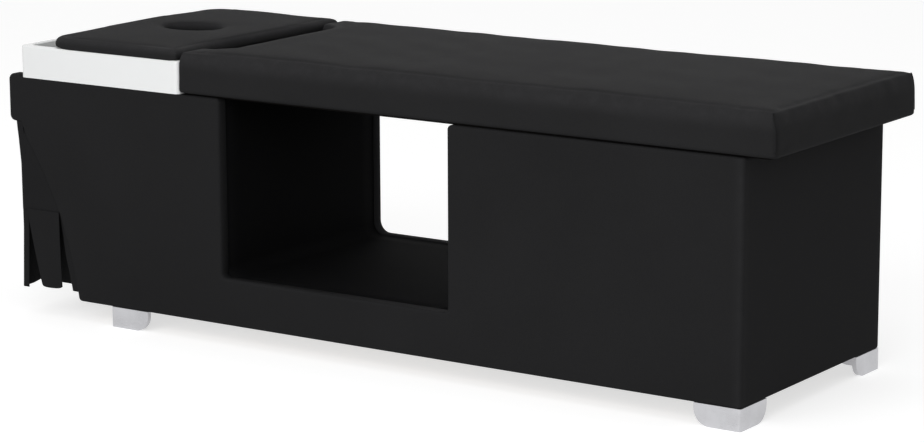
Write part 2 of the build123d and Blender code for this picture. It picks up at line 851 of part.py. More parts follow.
def mattress_board():
    """The plywood board under the mattress foam."""
    inset = mattress_board_inset
    plan = rounded_plan(mattress_head_x + inset, mattress_foot_x - inset, mattress_half - inset,
                        mattress_board_corner)
    solid = upward(plan, base_top, mattress_board_top)
    return solid - mattress_recess(inset, base_top - overrun, mattress_board_top + overrun)


def mattress_pieces():
    """The foam, with the board let into its underside, and the leatherette cover round it."""
    board_solid = mattress_board()
    outer = mattress_form(0, mattress_bottom)
    inner = mattress_form(cover_skin, mattress_bottom - overrun)
    return board_solid, *foam_and_cover(outer, inner, board_solid)


def mattress_screws():
    """The screws up through the cross rails into the mattress board."""
    screws = []
    for rail_x in (basin_rail_x, foot_rail_x):
        x = rail_x + cross_rail_width - 2 * screw_head_radius
        for side in (near_side, far_side):
            y = side * (side_inner - batten / 2)
            low = base_top - cross_rail_height
            neck = low + screw_head_height
            screw = rod(x, y, low, neck, screw_head_radius)
            screws.append(screw + rod(x, y, neck, neck + mattress_screw_length, screw_radius))
    return group(screws)


def foam_and_cover(outer, inner, board_solid):
    """A cushion's foam, with its board let in from below, and the leatherette shell over it."""
    box = outer.bounding_box()
    below = block(box.min.X - overrun, box.max.X + overrun, box.min.Y - overrun, box.max.Y + overrun,
                  box.min.Z - 2 * overrun, box.min.Z)
    return inner - below - board_solid, outer - inner


# Head pad

def pad_block(inset, low, high):
    """The head pad's outline carried up: wide round corners at the head and tight ones at the foot."""
    half = pad_half - inset
    solid = block(pad_head_x + inset, pad_foot_x - inset, -half, half, low, high)
    solid = fillet(solid.edges().filter_by(Axis.Z).group_by(Axis.X)[0], pad_head_corner - inset)
    return fillet(solid.edges().filter_by(Axis.Z).group_by(Axis.X)[-1], pad_foot_corner - inset)


def face_hole(growth, low, high):
    """The oval hole for the face, as an upright prism."""
    oval = Pos(face_hole_x, 0) * Ellipse(face_hole_length / 2 + growth, face_hole_width / 2 + growth)
    return upward(oval, low, high)


def pad_form(inset, low):
    """The head pad's cushion drawn in by an inset, crowned, round-edged and dished at the hole."""
    half = pad_half - inset
    high = pad_top + overrun
    solid = crowned(pad_block(inset, low, high), half, pad_top - inset, pad_crown, pad_edge_round - inset)
    solid -= face_hole(inset, low - overrun, high)
    mouth = solid.faces().sort_by(lambda f: f.area)[-1].inner_wires()[0].edges()
    return fillet(mouth, pad_mouth_round - inset)


def pad_pieces():
    """The head pad's board, its foam and its cover."""
    board_solid = pad_block(pad_board_inset, pad_bottom, pad_bottom + pad_board_thickness)
    board_solid -= face_hole(pad_board_inset, pad_bottom - overrun, pad_top + overrun)
    outer = pad_form(0, pad_bottom)
    inner = pad_form(cover_skin, pad_bottom - overrun)
    return board_solid, *foam_and_cover(outer, inner, board_solid)


def pad_stops():
    """The four rubber stops under the head pad that keep it inside the basin's rim."""
    stops = []
    reach = half_width - basin_wall - stop_inset
    for x in (pad_head_x + pad_head_corner, basin_foot_x - basin_wall - stop_inset):
        for side in (near_side, far_side):
            stop = rod(x, side * reach, pad_bottom - stop_height, pad_bottom, stop_radius)
            stops.append(fillet(stop.edges().sort_by(Axis.Z)[0], stop_radius / 4))
    return group(stops)


# Curtain

def cloth_section(path, folds):
    """A closed strip of cloth in plan along a line of points, each stretch bowed by its fold."""
    front = []
    back = []
    shift = Vector(cloth, 0)
    for start, end, fold in zip(path, path[1:], folds):
        middle = bowed_middle(start, end, fold)
        front.append(ThreePointArc(start, middle, end))
        back.append(ThreePointArc(Vector(*start) + shift, middle + shift, Vector(*end) + shift))
    caps = [Line(path[0], Vector(*path[0]) + shift), Line(path[-1], Vector(*path[-1]) + shift)]
    outline = front[0]
    for piece in front[1:] + back + caps:
        outline += piece
    return make_face(outline)


def curtain_end():
    """The curtain across the head end, from the tack strip to the hem, with folds that deepen."""
    reach = half_width - cloth
    top_z = rail_bottom - tack_strip_thickness
    tuck_z = (top_z + curtain_slit_top) / 2
    out_x = head_x + curtain_end_setback
    in_x = out_x + curtain_tuck
    levels = [(top_z, out_x, curtain_fold_slight), (tuck_z, in_x, curtain_fold_slight * 2),
              (curtain_slit_top, in_x, curtain_fold_deep / 2), (curtain_hem, out_x, curtain_fold_deep)]
    sections = []
    for z, x, fold in levels:
        step = 2 * reach / curtain_folds
        path = [(x, -reach + step * count) for count in range(curtain_folds + 1)]
        folds = [fold if count % 2 else -fold for count in range(curtain_folds)]
        sections.append(Plane.XY.offset(z) * cloth_section(path, folds))
    cloth_wall = loft(sections, ruled=True)
    for side in (near_side, far_side):
        faces = sorted((side * reach, side * (reach - cloth)))
        turned = polygon((in_x, curtain_slit_top), (in_x + curtain_return, curtain_slit_top),
                         (out_x + curtain_return, curtain_hem), (out_x, curtain_hem))
        cloth_wall += across(turned, *faces)
    return cloth_wall


def knee_edge_x(z):
    """Where the knee arc of a side panel is at one height."""
    knee_foot = Vector(knee_foot_x, base_bottom)
    knee_head = Vector(rail_inner_x, knee_top_z)
    chord = (knee_head - knee_foot).length
    radius = (chord * chord / 4 + knee_bow * knee_bow) / (2 * knee_bow)
    middle = bowed_middle((knee_head.X, knee_head.Y), (knee_foot.X, knee_foot.Y), knee_bow)
    inward = (Vector(bowed_middle((knee_head.X, knee_head.Y), (knee_foot.X, knee_foot.Y), 0)) - middle).normalized()
    centre = middle + inward * radius
    return centre.X + (radius ** 2 - (z - centre.Y) ** 2) ** 0.5


def curtain_side(side):
    """One side of the curtain: a gore that follows the knee arc, and a slit flap hanging from it."""
    outer = side * half_width
    inner = outer - side * cloth
    out_x = head_x + curtain_end_setback
    in_x = out_x + curtain_tuck
    top_z = rail_bottom - tack_strip_thickness
    tuck_z = (top_z + curtain_slit_top) / 2
    foot_x = rail_inner_x - flap_clearance
    foot_low = (knee_edge_x(curtain_slit_top) - flap_clearance, curtain_slit_top)
    middle_z = (knee_top_z + curtain_slit_top) / 2
    foot_middle = (knee_edge_x(middle_z) - flap_clearance, middle_z)
    edge = ThreePointArc(foot_low, foot_middle, (foot_x, knee_top_z))
    rest = Polyline((foot_x, knee_top_z), (foot_x, top_z), (out_x, top_z), (in_x, tuck_z),
                    (in_x, curtain_slit_top), foot_low)
    gore = across(make_face(edge + rest), *sorted((outer, inner)))
    top_x = foot_low[0] - flap_width
    levels = ((curtain_slit_top, top_x, flap_width, curtain_fold_slight),
              (curtain_hem, top_x + flap_hem_shift, flap_hem_width, flap_fold))
    sections = []
    for z, x, width, fold in levels:
        middle_x = x + width / 2
        sheet = []
        for y in (outer, inner):
            crest = y + side * fold
            dip = y + side * fold / 2
            sheet.append(ThreePointArc((x, y), ((x + middle_x) / 2, crest), (middle_x, y)))
            sheet.append(ThreePointArc((middle_x, y), ((middle_x + x + width) / 2, dip), (x + width, y)))
        ends = [Line((x, outer), (x, inner)), Line((x + width, outer), (x + width, inner))]
        outline = sheet[0]
        for piece in sheet[1:] + ends:
            outline += piece
        sections.append(Plane.XY.offset(z) * make_face(outline))
    return gore + loft(sections, ruled=True)


def tack_strip():
    """The strip under the head rail that the curtain is tacked to."""
    x0 = head_x + tack_strip_setback
    return block(x0, x0 + tack_strip_width, -side_inner, side_inner,
                 rail_bottom - tack_strip_thickness, rail_bottom)


def build():
    """Every node of the bed by its name."""
    nodes = {}
    near_board = side_board(near_side, near_notch_radius)
    far_board = side_board(far_side, far_notch_radius)
    end_board = foot_end_board()
    head_wall, foot_wall, floor = niche_walls()
    basin_rail = cross_rail(basin_rail_x)
    foot_rail = cross_rail(foot_rail_x)
    screws = carcass_screws()
    nodes["near_side_cover"] = side_cover(near_side, near_notch_radius, [near_board, end_board])
    nodes["far_side_cover"] = side_cover(far_side, far_notch_radius, [far_board, end_board])
    nodes["foot_end_cover"] = foot_end_cover([near_board, far_board, end_board])
    nodes["near_side_board"] = near_board - screws
    nodes["far_side_board"] = far_board - screws
    nodes["foot_end_board"] = end_board
    nodes["head_rail_board"] = head_rail_board()
    nodes["head_rail_cover"] = head_rail_cover()
    nodes["niche_head_wall"] = head_wall - screws
    nodes["niche_foot_wall"] = foot_wall - screws
    nodes["niche_floor"] = floor
    nodes["niche_lining"] = niche_lining()
    nodes["near_bottom_batten"] = bottom_batten(near_side)
    nodes["far_bottom_batten"] = bottom_batten(far_side)
    nodes["knee_batten"] = knee_batten()
    nodes["near_foot_post"] = foot_post(near_side) - screws
    nodes["far_foot_post"] = foot_post(far_side) - screws
    nodes["near_basin_cleat"] = basin_cleat(near_side)
    nodes["far_basin_cleat"] = basin_cleat(far_side)
    nodes["rail_brackets"] = rail_brackets()
    nodes["carcass_screws"] = screws
    fixings = mattress_screws()
    nodes["mattress_screws"] = fixings
    nodes["basin_rail"] = basin_rail - screws - fixings
    nodes["foot_bay_rail"] = foot_rail - screws - fixings
    for name, place in leg_corners().items():
        nodes[name] = corner_leg(*place)
    plates, leg_screws = leg_plates_and_screws()
    nodes["leg_plates"] = plates
    nodes["leg_screws"] = leg_screws
    for name in ("near_bottom_batten", "far_bottom_batten"):
        nodes[name] -= leg_screws
    nodes["basin"] = basin()
    nodes["neck_rest"] = neck_rest()
    nodes["waste_flange"] = waste_flange()
    nodes["hair_strainer"] = hair_strainer()
    nodes.update(waste_run())
    nodes["mixer_body"] = mixer_body()
    nodes["mixer_spout"] = mixer_spout()
    nodes["aerator"] = aerator()
    nodes["mixer_turret"] = mixer_turret()
    nodes["lever_pin"] = lever_pin()
    nodes["mixer_lever"] = mixer_lever()
    nodes["stud_nut"] = stud_nut()
    nodes["water_inlets"] = water_inlets()
    board_solid, foam, cover = mattress_pieces()
    nodes["mattress_board"] = board_solid - fixings
    nodes["mattress_foam"] = foam
    nodes["mattress_cover"] = cover
    board_solid, foam, cover = pad_pieces()
    nodes["pad_board"] = board_solid
    nodes["pad_foam"] = foam
    nodes["pad_cover"] = cover
    nodes["pad_stops"] = pad_stops()
    nodes["tack_strip"] = tack_strip()
    nodes["curtain_end"] = curtain_end()
    nodes["curtain_near_side"] = curtain_side(near_side)
    nodes["curtain_far_side"] = curtain_side(far_side)
    return nodes


os.makedirs("parts", exist_ok=True)
for node_name, node_shape in build().items():
    export_step(node_shape, f"parts/{node_name}.step")
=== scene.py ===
"""Looks of a hair washing bed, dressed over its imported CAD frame.

Metres. +X runs to the foot end, +Y across to the far side, +Z up, and the floor is at Z = 0.
"""

import logging
import math
from contextlib import contextmanager
from dataclasses import dataclass, field
from enum import Enum
from typing import Iterator, Sequence

import bmesh
import bpy
import numpy as np
from mathutils import Matrix, Vector
from mathutils.bvhtree import BVHTree


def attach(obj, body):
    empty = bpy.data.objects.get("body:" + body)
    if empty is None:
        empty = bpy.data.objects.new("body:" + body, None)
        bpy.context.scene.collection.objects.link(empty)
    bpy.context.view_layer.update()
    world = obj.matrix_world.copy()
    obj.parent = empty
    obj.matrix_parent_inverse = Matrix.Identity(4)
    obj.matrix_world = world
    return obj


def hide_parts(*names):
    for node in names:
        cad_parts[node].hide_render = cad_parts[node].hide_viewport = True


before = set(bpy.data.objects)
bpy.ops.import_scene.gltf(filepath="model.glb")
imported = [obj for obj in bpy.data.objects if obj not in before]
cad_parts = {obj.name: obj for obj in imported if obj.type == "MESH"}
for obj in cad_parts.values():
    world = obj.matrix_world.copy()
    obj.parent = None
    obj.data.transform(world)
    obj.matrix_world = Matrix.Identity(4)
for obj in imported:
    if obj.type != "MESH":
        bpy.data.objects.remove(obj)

log = logging.getLogger("washing_bed")

BASE = "base"
HEAD_PAD = "head_pad"

Triple = tuple[float, float, float]
Socket = bpy.types.NodeSocket


class Sign(Enum):
    """One of two opposite places, by the sign that mirrors a shape to it."""

    @property
    def label(self) -> str:
        """The place's word in a piece's name."""
        return self.name.lower()


class Side(Sign):
    """A side of the bed, by the sign of Y there."""

    NEAR = -1
    FAR = 1


class Lip(Sign):
    """A lip of a corner's seam: towards the bed's side or towards its foot end."""

    SIDE = -1
    END = 1


# Shapes worked out as arrays


def steps(start: float, end: float, count: int) -> np.ndarray:
    """Evenly spaced values with both ends.

    Args:
        start: the first value.
        end: the last value.
        count: how many values.

    Returns:
        A one-dimensional array.
    """
    return np.linspace(start, end, count)


def smooth_share(values: np.ndarray, low: float, high: float) -> np.ndarray:
    """How far values lie from low to high, eased at both ends: t squared times three less two t.

    Args:
        values: what is measured.
        low: where the share is 0.
        high: where the share is 1.

    Returns:
        Shares from 0 to 1.
    """
    t = np.clip((values - low) / (high - low), 0.0, 1.0)
    return t * t * (3.0 - 2.0 * t)


def rounded_outline(corners: np.ndarray, radii: Sequence[float], turn_steps: int = 8) -> np.ndarray:
    """A closed outline whose corners are arcs.

    At each corner the arc's centre lies on the bisector of its two edges, at the radius over the sine
    of half their angle, and its points turn evenly from one tangent point to the other.

    Args:
        corners: the sharp corners in order, one row each.
        radii: one radius for each corner; a corner of radius 0 stays sharp.
        turn_steps: how many stretches an arc has.

    Returns:
        The outline's points, one row each, with the first not repeated.
    """
    points = []
    for index, radius in enumerate(radii):
        here = corners[index]
        to_last = corners[index - 1] - here
        to_next = corners[(index + 1) % len(corners)] - here
        to_last = to_last / np.linalg.norm(to_last)
        to_next = to_next / np.linalg.norm(to_next)
        if radius <= 0:
            points.append(here[None])
            continue
        half = math.acos(float(np.clip(to_last @ to_next, -1, 1))) / 2
        bisector = (to_last + to_next) / np.linalg.norm(to_last + to_next)
        centre = here + bisector * radius / math.sin(half)
        first = here + to_last * radius / math.tan(half) - centre
        last = here + to_next * radius / math.tan(half) - centre
        sweep = math.atan2(first[0] * last[1] - first[1] * last[0], first @ last)
        angle = steps(0, sweep, turn_steps + 1)[:, None]
        side = np.array([-first[1], first[0]])
        points.append(centre + first * np.cos(angle) + side * np.sin(angle))
    return np.concatenate(points)


def stretch_counts(outline: np.ndarray, spacing: float) -> np.ndarray:
    """How many parts each stretch of a closed outline needs for none to be longer than the spacing."""
    lengths = np.linalg.norm(np.roll(outline, -1, axis=0) - outline, axis=1)
    return np.maximum(1, np.ceil(lengths / spacing)).astype(int)


def resampled(outline: np.ndarray, counts: np.ndarray) -> np.ndarray:
    """A closed outline with its stretches cut into even parts.

    Args:
        outline: the outline's points.
        counts: how many parts each stretch has.

    Returns:
        The points, with those of the outline among them.
    """
    ends = np.roll(outline, -1, axis=0)
    parts = [a + (b - a) * steps(0, 1, n + 1)[:-1, None] for a, b, n in zip(outline, ends, counts)]
    return np.concatenate(parts)


def outline_normals(outline: np.ndarray) -> np.ndarray:
    """The inward mitre at each point of an outline that runs against the clock.

    The mitre is the mean of the two edges' left-hand normals, made longer by one over the cosine of
    half the turn, so that an offset along it keeps straight edges parallel.

    Args:
        outline: the outline's points.

    Returns:
        One vector for each point.
    """
    shortest, least_cosine = 1e-12, 0.35
    edge = np.roll(outline, -1, axis=0) - outline
    edge /= np.maximum(np.linalg.norm(edge, axis=1, keepdims=True), shortest)
    left = np.stack([-edge[:, 1], edge[:, 0]], axis=1)
    mean = left + np.roll(left, 1, axis=0)
    mean /= np.maximum(np.linalg.norm(mean, axis=1, keepdims=True), shortest)
    return mean / np.maximum((mean * left).sum(1, keepdims=True), least_cosine)


def quarter_round(radius: float, count: int) -> np.ndarray:
    """A quarter circle from flat face to edge: inset one less sine, depth one less cosine.

    Args:
        radius: the circle's radius.
        count: how many points.

    Returns:
        Rows of inset from the outline and depth behind the face.
    """
    angle = steps(0, math.pi / 2, count)
    return np.stack([radius * (1 - np.sin(angle)), radius * (1 - np.cos(angle))], axis=1)


def at_height(ring: np.ndarray, z: float) -> np.ndarray:
    """A ring in plan, laid at one height."""
    return np.column_stack([ring, np.full(len(ring), z)])


def upright(section: np.ndarray, y: float) -> np.ndarray:
    """A section in X and Z, stood at one place across the bed."""
    return np.column_stack([section[:, 0], np.full(len(section), y), section[:, 1]])


def grid_faces(rows: int, columns: int, wrap_rows: bool = False,
               wrap_columns: bool = False) -> np.ndarray:
    """The four-sided faces of a grid whose points are numbered row by row.

    Args:
        rows: how many rows.
        columns: how many columns.
        wrap_rows: whether the last row joins the first.
        wrap_columns: whether the last column joins the first.

    Returns:
        One row of four point numbers for each face.
    """
    i, j = np.meshgrid(np.arange(rows if wrap_rows else rows - 1),
                       np.arange(columns if wrap_columns else columns - 1), indexing="ij")
    i, j = i.ravel(), j.ravel()
    i2, j2 = (i + 1) % rows, (j + 1) % columns
    return np.stack([i * columns + j, i * columns + j2, i2 * columns + j2, i2 * columns + j], axis=1)


def capped(rows: int, columns: int, flip: bool = False) -> list:
    """The faces of rings joined one to the next, with a flat cap on the first and the last.

    Args:
        rows: how many rings.
        columns: how many points a ring has.
        flip: whether the caps face the other way.

    Returns:
        The faces as lists of point numbers.
    """
    first, last = list(range(columns))[::-1], [(rows - 1) * columns + k for k in range(columns)]
    caps = [first[::-1], last[::-1]] if flip else [first, last]
    return grid_faces(rows, columns, wrap_columns=True).tolist() + caps


def slack(points: np.ndarray, wave: float, seed: int) -> np.ndarray:
    """Gentle unevenness: the mean of eight sine waves in random directions through space.

    Args:
        points: where it is worked out, one row each.
        wave: the typical length of a wave.
        seed: chooses the directions and phases, the same ones each run.

    Returns:
        One value from about -1 to 1 for each point.
    """
    waves = 8
    chance = np.random.default_rng(seed)
    heading = chance.normal(size=(waves, 3))
    pace = 2 * math.pi / wave * chance.uniform(0.7, 1.4, waves)
    heading *= (pace / np.linalg.norm(heading, axis=1))[:, None]
    return np.sin(points @ heading.T + chance.uniform(0, 2 * math.pi, waves)).mean(1) * 2


@contextmanager
def editing(mesh: bpy.types.Mesh) -> Iterator[bmesh.types.BMesh]:
    """Opens a mesh for work on its faces and writes it back afterwards."""
    work = bmesh.new()
    work.from_mesh(mesh)
    yield work
    work.to_mesh(mesh)
    work.free()


def placed(name: str, data: bpy.types.ID) -> bpy.types.Object:
    """Puts a new object with the given data into the scene, at the origin."""
    made = bpy.data.objects.new(name, data)
    bpy.context.scene.collection.objects.link(made)
    return made


def new_piece(name: str, points: np.ndarray, faces: Sequence, finish: "Leatherette",
              body: str = BASE, outward: bool = True) -> bpy.types.Object:
    """Makes a mesh object at the origin, dresses it and lets it ride.

    Args:
        name: the piece's name.
        points: its vertices in the row frame.
        faces: its faces as lists of vertex numbers.
        finish: what it is made of.
        body: the body that it moves with.
        outward: whether its normals are recalculated to point out.

    Returns:
        The new object.
    """
    mesh = bpy.data.meshes.new(name)
    corners = [list(map(int, face)) for face in faces]
    mesh.from_pydata(np.asarray(points, float).reshape(-1, 3).tolist(), [], corners)
    mesh.validate()
    mesh.shade_smooth()
    piece = placed(name, mesh)
    if outward:
        with editing(mesh) as work:
            bmesh.ops.recalc_face_normals(work, faces=work.faces)
    mesh.materials.append(finish.material())
    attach(piece, body)
    return piece


def vertices(piece: bpy.types.Object, kind: str = "co") -> np.ndarray:
    """A mesh's vertices, or with kind normal their normals, as rows of an array."""
    values = np.zeros(len(piece.data.vertices) * 3, np.float32)
    piece.data.vertices.foreach_get(kind, values)
    return values.reshape(-1, 3).astype(float)


def set_vertices(piece: bpy.types.Object, points: np.ndarray) -> None:
    """Puts an array's rows back as a mesh's vertices."""
    piece.data.vertices.foreach_set("co", points.astype(np.float32).ravel())
    piece.data.update()


def mark_wear(piece: bpy.types.Object, values: np.ndarray) -> None:
    """Gives each vertex of a mesh its share of wear, for the leatherette to read."""
    attribute = piece.data.attributes.get("wear") or piece.data.attributes.new("wear", "FLOAT", "POINT")
    attribute.data.foreach_set("value", np.asarray(values, np.float32).ravel())


def apply_modifiers(piece: bpy.types.Object) -> None:
    """Makes what a piece's modifiers show its own mesh, and takes them off."""
    shown = piece.evaluated_get(bpy.context.evaluated_depsgraph_get())
    mesh = bpy.data.meshes.new_from_object(shown)
    piece.modifiers.clear()
    piece.data = mesh


def soften(piece: bpy.types.Object) -> None:
    """Rounds a piece's faces by one subdivision, the same in view and in the render."""
    skin = piece.modifiers.new("smooth_skin", "SUBSURF")
    skin.levels = skin.render_levels = 1


def thicken(piece: bpy.types.Object, thickness: float, offset: float) -> None:
    """Gives a surface the thickness of its cloth, inward at offset -1 and both ways at 0."""
    wall = piece.modifiers.new("cloth_thickness", "SOLIDIFY")
    wall.thickness = thickness
    wall.offset = offset


def tube(name: str, path: np.ndarray, radius: float, finish: "Leatherette") -> bpy.types.Object:
    """A round cord along an open path, which rides on the base.

    Each ring stands square to the path: its first axis is the cross product of the path's direction
    and the most different row axis, and its points lie at the radius in even turns.

    Args:
        name: the piece's name.
        path: the points that it follows.
        radius: its radius.
        finish: what it is made of.

    Returns:
        The new object.
    """
    sides = 8
    ahead = np.roll(path, -1, axis=0) - np.roll(path, 1, axis=0)
    ahead[0], ahead[-1] = path[1] - path[0], path[-1] - path[-2]
    ahead /= np.linalg.norm(ahead, axis=1, keepdims=True)
    axis = np.eye(3)[int(np.argmin(np.abs(ahead).mean(0)))]
    first = np.cross(ahead, axis)
    first /= np.linalg.norm(first, axis=1, keepdims=True)
    second = np.cross(ahead, first)
    turn = steps(0, 2 * math.pi, sides + 1)[:-1]
    cosine, sine = np.cos(turn)[None, :, None], np.sin(turn)[None, :, None]
    points = path[:, None] + radius * (first[:, None] * cosine + second[:, None] * sine)
    return new_piece(name, points, capped(len(path), sides), finish)


# Finishes


class Graph:
    """A material's node tree with short calls for adding and joining nodes."""

    def __init__(self, name: str) -> None:
        """Starts a material that holds one Principled shader."""
        self.material = bpy.data.materials.new(name)
        self.material.use_nodes = True
        self.tree = self.material.node_tree
        self.shader = self.tree.nodes["Principled BSDF"]
        self.place = self.tree.nodes.new("ShaderNodeTexCoord").outputs["Object"]

    def node(self, kind: str, **values: object) -> bpy.types.Node:
        """Adds a node.

        Args:
            kind: the node's type without ShaderNode.
            values: attributes of the node, or, with words joined by an underscore, its input sockets.

        Returns:
            The new node.
        """
        made = self.tree.nodes.new("ShaderNode" + kind)
        for key, value in values.items():
            if hasattr(made, key):
                setattr(made, key, value)
            else:
                made.inputs[key.replace("_", " ")].default_value = value
        return made

    def join(self, source: Socket, target: Socket) -> None:
        """Joins an output to an input."""
        self.tree.links.new(source, target)

    def stretched(self, scale: Triple) -> Socket:
        """The object's own coordinates, scaled unevenly along its axes."""
        mapping = self.node("Mapping")
        mapping.inputs["Scale"].default_value = scale
        self.join(self.place, mapping.inputs["Vector"])
        return mapping.outputs["Vector"]

    def noise(self, scale: float, detail: float = 3.0, roughness: float = 0.5,
              source: Socket | None = None) -> Socket:
        """Cloudy noise from 0 to 1, per metre of the object's coordinates."""
        made = self.node("TexNoise", Scale=scale, Detail=detail, Roughness=roughness)
        self.join(source or self.place, made.inputs["Vector"])
        return made.outputs["Fac"]

    def spread(self, source: Socket, low: float, high: float,
               start: float = 0.0, end: float = 1.0) -> Socket:
        """Maps low to high onto start to end."""
        made = self.node("MapRange")
        for key, value in zip(("From Min", "From Max", "To Min", "To Max"), (low, high, start, end)):
            made.inputs[key].default_value = value
        self.join(source, made.inputs["Value"])
        return made.outputs["Result"]

    def blend(self, share: Socket, low: Socket | Triple, high: Triple, kind: str = "MIX") -> Socket:
        """A colour between two by a share, or low times high by a share where the kind is MULTIPLY."""
        made = self.node("Mix", data_type="RGBA", blend_type=kind)
        first, second, result = made.inputs[6], made.inputs[7], made.outputs[2]
        self.join(share, made.inputs["Factor"])
        if isinstance(low, Socket):
            self.join(low, first)
        else:
            first.default_value = (*low, 1.0)
        second.default_value = (*high, 1.0)
        return result

    def total(self, first: Socket, second: Socket, operation: str = "ADD") -> Socket:
        """Two numbers joined by an operation."""
        made = self.node("Math", operation=operation)
        self.join(first, made.inputs[0])
        self.join(second, made.inputs[1])
        return made.outputs[0]

    def relief(self, height: Socket, depth: float, strength: float = 1.0,
               over: Socket | None = None) -> Socket:
        """A bump of a height pattern, over an earlier bump where one is given."""
        made = self.node("Bump", Distance=depth, Strength=strength)
        self.join(height, made.inputs["Height"])
        if over is not None:
            self.join(over, made.inputs["Normal"])
        return made.outputs["Normal"]

    def feed(self, **sources: Socket) -> None:
        """Joins outputs to the shader's sockets, with words joined by an underscore."""
        for key, source in sources.items():
            self.join(source, self.shader.inputs[key.replace("_", " ")])

    def set(self, **values: object) -> None:
        """Sets the shader's own sockets, with words joined by an underscore."""
        for key, value in values.items():
            socket = self.shader.inputs[key.replace("_", " ")]
            socket.default_value = (*value, 1.0) if isinstance(value, tuple) else value


class Finish:
    """What a piece is made of. Each kind builds its material once and shares it."""

    name: str
    colour: Triple

    def shaded(self, share: float) -> Triple:
        """The finish's colour, lighter or darker by a share."""
        return tuple(c * share for c in self.colour)

    @property
    def title(self) -> str:
        """The material's name, which no slot of the record has."""
        return f"{self.name}_finish"

    def material(self) -> bpy.types.Material:
        """The finish's material, built at its first use."""
        return bpy.data.materials.get(self.title) or self.build()

    def build(self) -> bpy.types.Material:
        """Builds the material: each kind of finish has its own way."""
        raise NotImplementedError


@dataclass(frozen=True)
class Leatherette(Finish):
    """Coated upholstery cloth: pebbled grain with painted shade in its valleys, slack waves, faint colour
    clouds and rubbed edges.
    """

    name: str
    slot: str
    colour: Triple
    rubbed: Triple
    roughness: float = 0.5
    pebbles_per_metre: float = 560.0
    grain_depth: float = 0.00022
    wave_depth: float = 0.0016
    shine: float = 0.025

    def build(self) -> bpy.types.Material:
        """The leatherette's material."""
        graph = Graph(self.title)
        pebbles = graph.node("TexVoronoi", feature="DISTANCE_TO_EDGE", Scale=self.pebbles_per_metre)
        graph.join(graph.place, pebbles.inputs["Vector"])
        grain = graph.spread(pebbles.outputs["Distance"], 0.0, 0.28)
        fine = graph.noise(self.pebbles_per_metre * 1.9, 2.0)
        clouds = graph.noise(2.3, 4.0, 0.55)
        slack_wave = graph.noise(6.5, 2.0, 0.4)
        wear = graph.node("Attribute", attribute_name="wear").outputs["Fac"]
        scuffs = graph.spread(graph.noise(38.0, 5.0, 0.65), 0.45, 0.75)
        rubbing = graph.total(wear, graph.spread(scuffs, 0.0, 1.0, 0.55, 1.0), "MULTIPLY")
        tone = graph.blend(graph.spread(clouds, 0.3, 0.7), self.shaded(0.9), self.shaded(1.1))
        # Painted shade: the colour is darkened in the grain's valleys, where the pebbles shade them.
        valley_shade = graph.spread(grain, 0.0, 1.0, 0.35, 0.0)
        valley_shaded = graph.blend(valley_shade, tone, (0.35, 0.35, 0.37), "MULTIPLY")
        rough = graph.spread(clouds, 0.2, 0.8, self.roughness - 0.05, self.roughness + 0.06)
        polish = graph.spread(rubbing, 0.0, 1.0, 0.0, -0.1)
        waves = graph.relief(slack_wave, self.wave_depth)
        small = graph.relief(fine, self.grain_depth * 0.3, over=waves)
        graph.feed(Base_Color=graph.blend(rubbing, valley_shaded, self.rubbed),
                   Roughness=graph.total(rough, polish),
                   Normal=graph.relief(grain, self.grain_depth, over=small))
        graph.set(Specular_IOR_Level=self.shine)
        return graph.material


class Lay(Enum):
    """The row axis along which a brushed or sawn pattern runs."""

    ALONG = 0
    ACROSS = 1
    UPRIGHT = 2

    def scale(self, fine: float, long: float) -> Triple:
        """Pattern scales that are fine on two axes and long on this one."""
        values = [fine, fine, fine]
        values[self.value] = long
        return tuple(values)


@dataclass(frozen=True)
class Metal(Finish):
    """Bare or plated metal with a brushed lay, smudges and small scratches."""

    name: str
    colour: Triple
    roughness: float
    lay: Lay = Lay.ALONG
    brushing: float = 0.05
    relief_depth: float = 0.00002

    def build(self) -> bpy.types.Material:
        """The metal's material."""
        graph = Graph(self.title)
        lines = graph.noise(1.0, 4.0, 0.6, graph.stretched(self.lay.scale(1900.0, 22.0)))
        smudges = graph.noise(19.0, 4.0, 0.6)
        rough = graph.spread(lines, 0.2, 0.8, self.roughness - self.brushing, self.roughness + self.brushing)
        dull = graph.spread(smudges, 0.4, 0.8, 0.0, 0.06)
        graph.feed(Base_Color=graph.blend(graph.spread(smudges, 0.35, 0.7), self.shaded(0.9), self.colour),
                   Roughness=graph.total(rough, dull), Normal=graph.relief(lines, self.relief_depth))
        graph.set(Metallic=1.0)
        return graph.material


@dataclass(frozen=True)
class Glaze(Finish):
    """White fired glaze: almost even, with faint pooling and a hard clear coat."""

    name: str
    colour: Triple

    def build(self) -> bpy.types.Material:
        """The glaze's material."""
        graph = Graph(self.title)
        pooling = graph.noise(9.0, 3.0, 0.5)
        specks = graph.spread(graph.noise(420.0, 2.0, 0.5), 0.7, 0.78)
        even = graph.blend(graph.spread(pooling, 0.3, 0.7), self.shaded(0.985), self.colour)
        faint = graph.spread(specks, 0.0, 1.0, 0.0, 0.12)
        graph.feed(Base_Color=graph.blend(faint, even, (0.62, 0.61, 0.58)),
                   Roughness=graph.spread(pooling, 0.2, 0.8, 0.1, 0.17),
                   Normal=graph.relief(graph.noise(55.0, 2.0), 0.00008))
        graph.set(Coat_Weight=0.5, Coat_Roughness=0.04, IOR=1.52)
        return graph.material


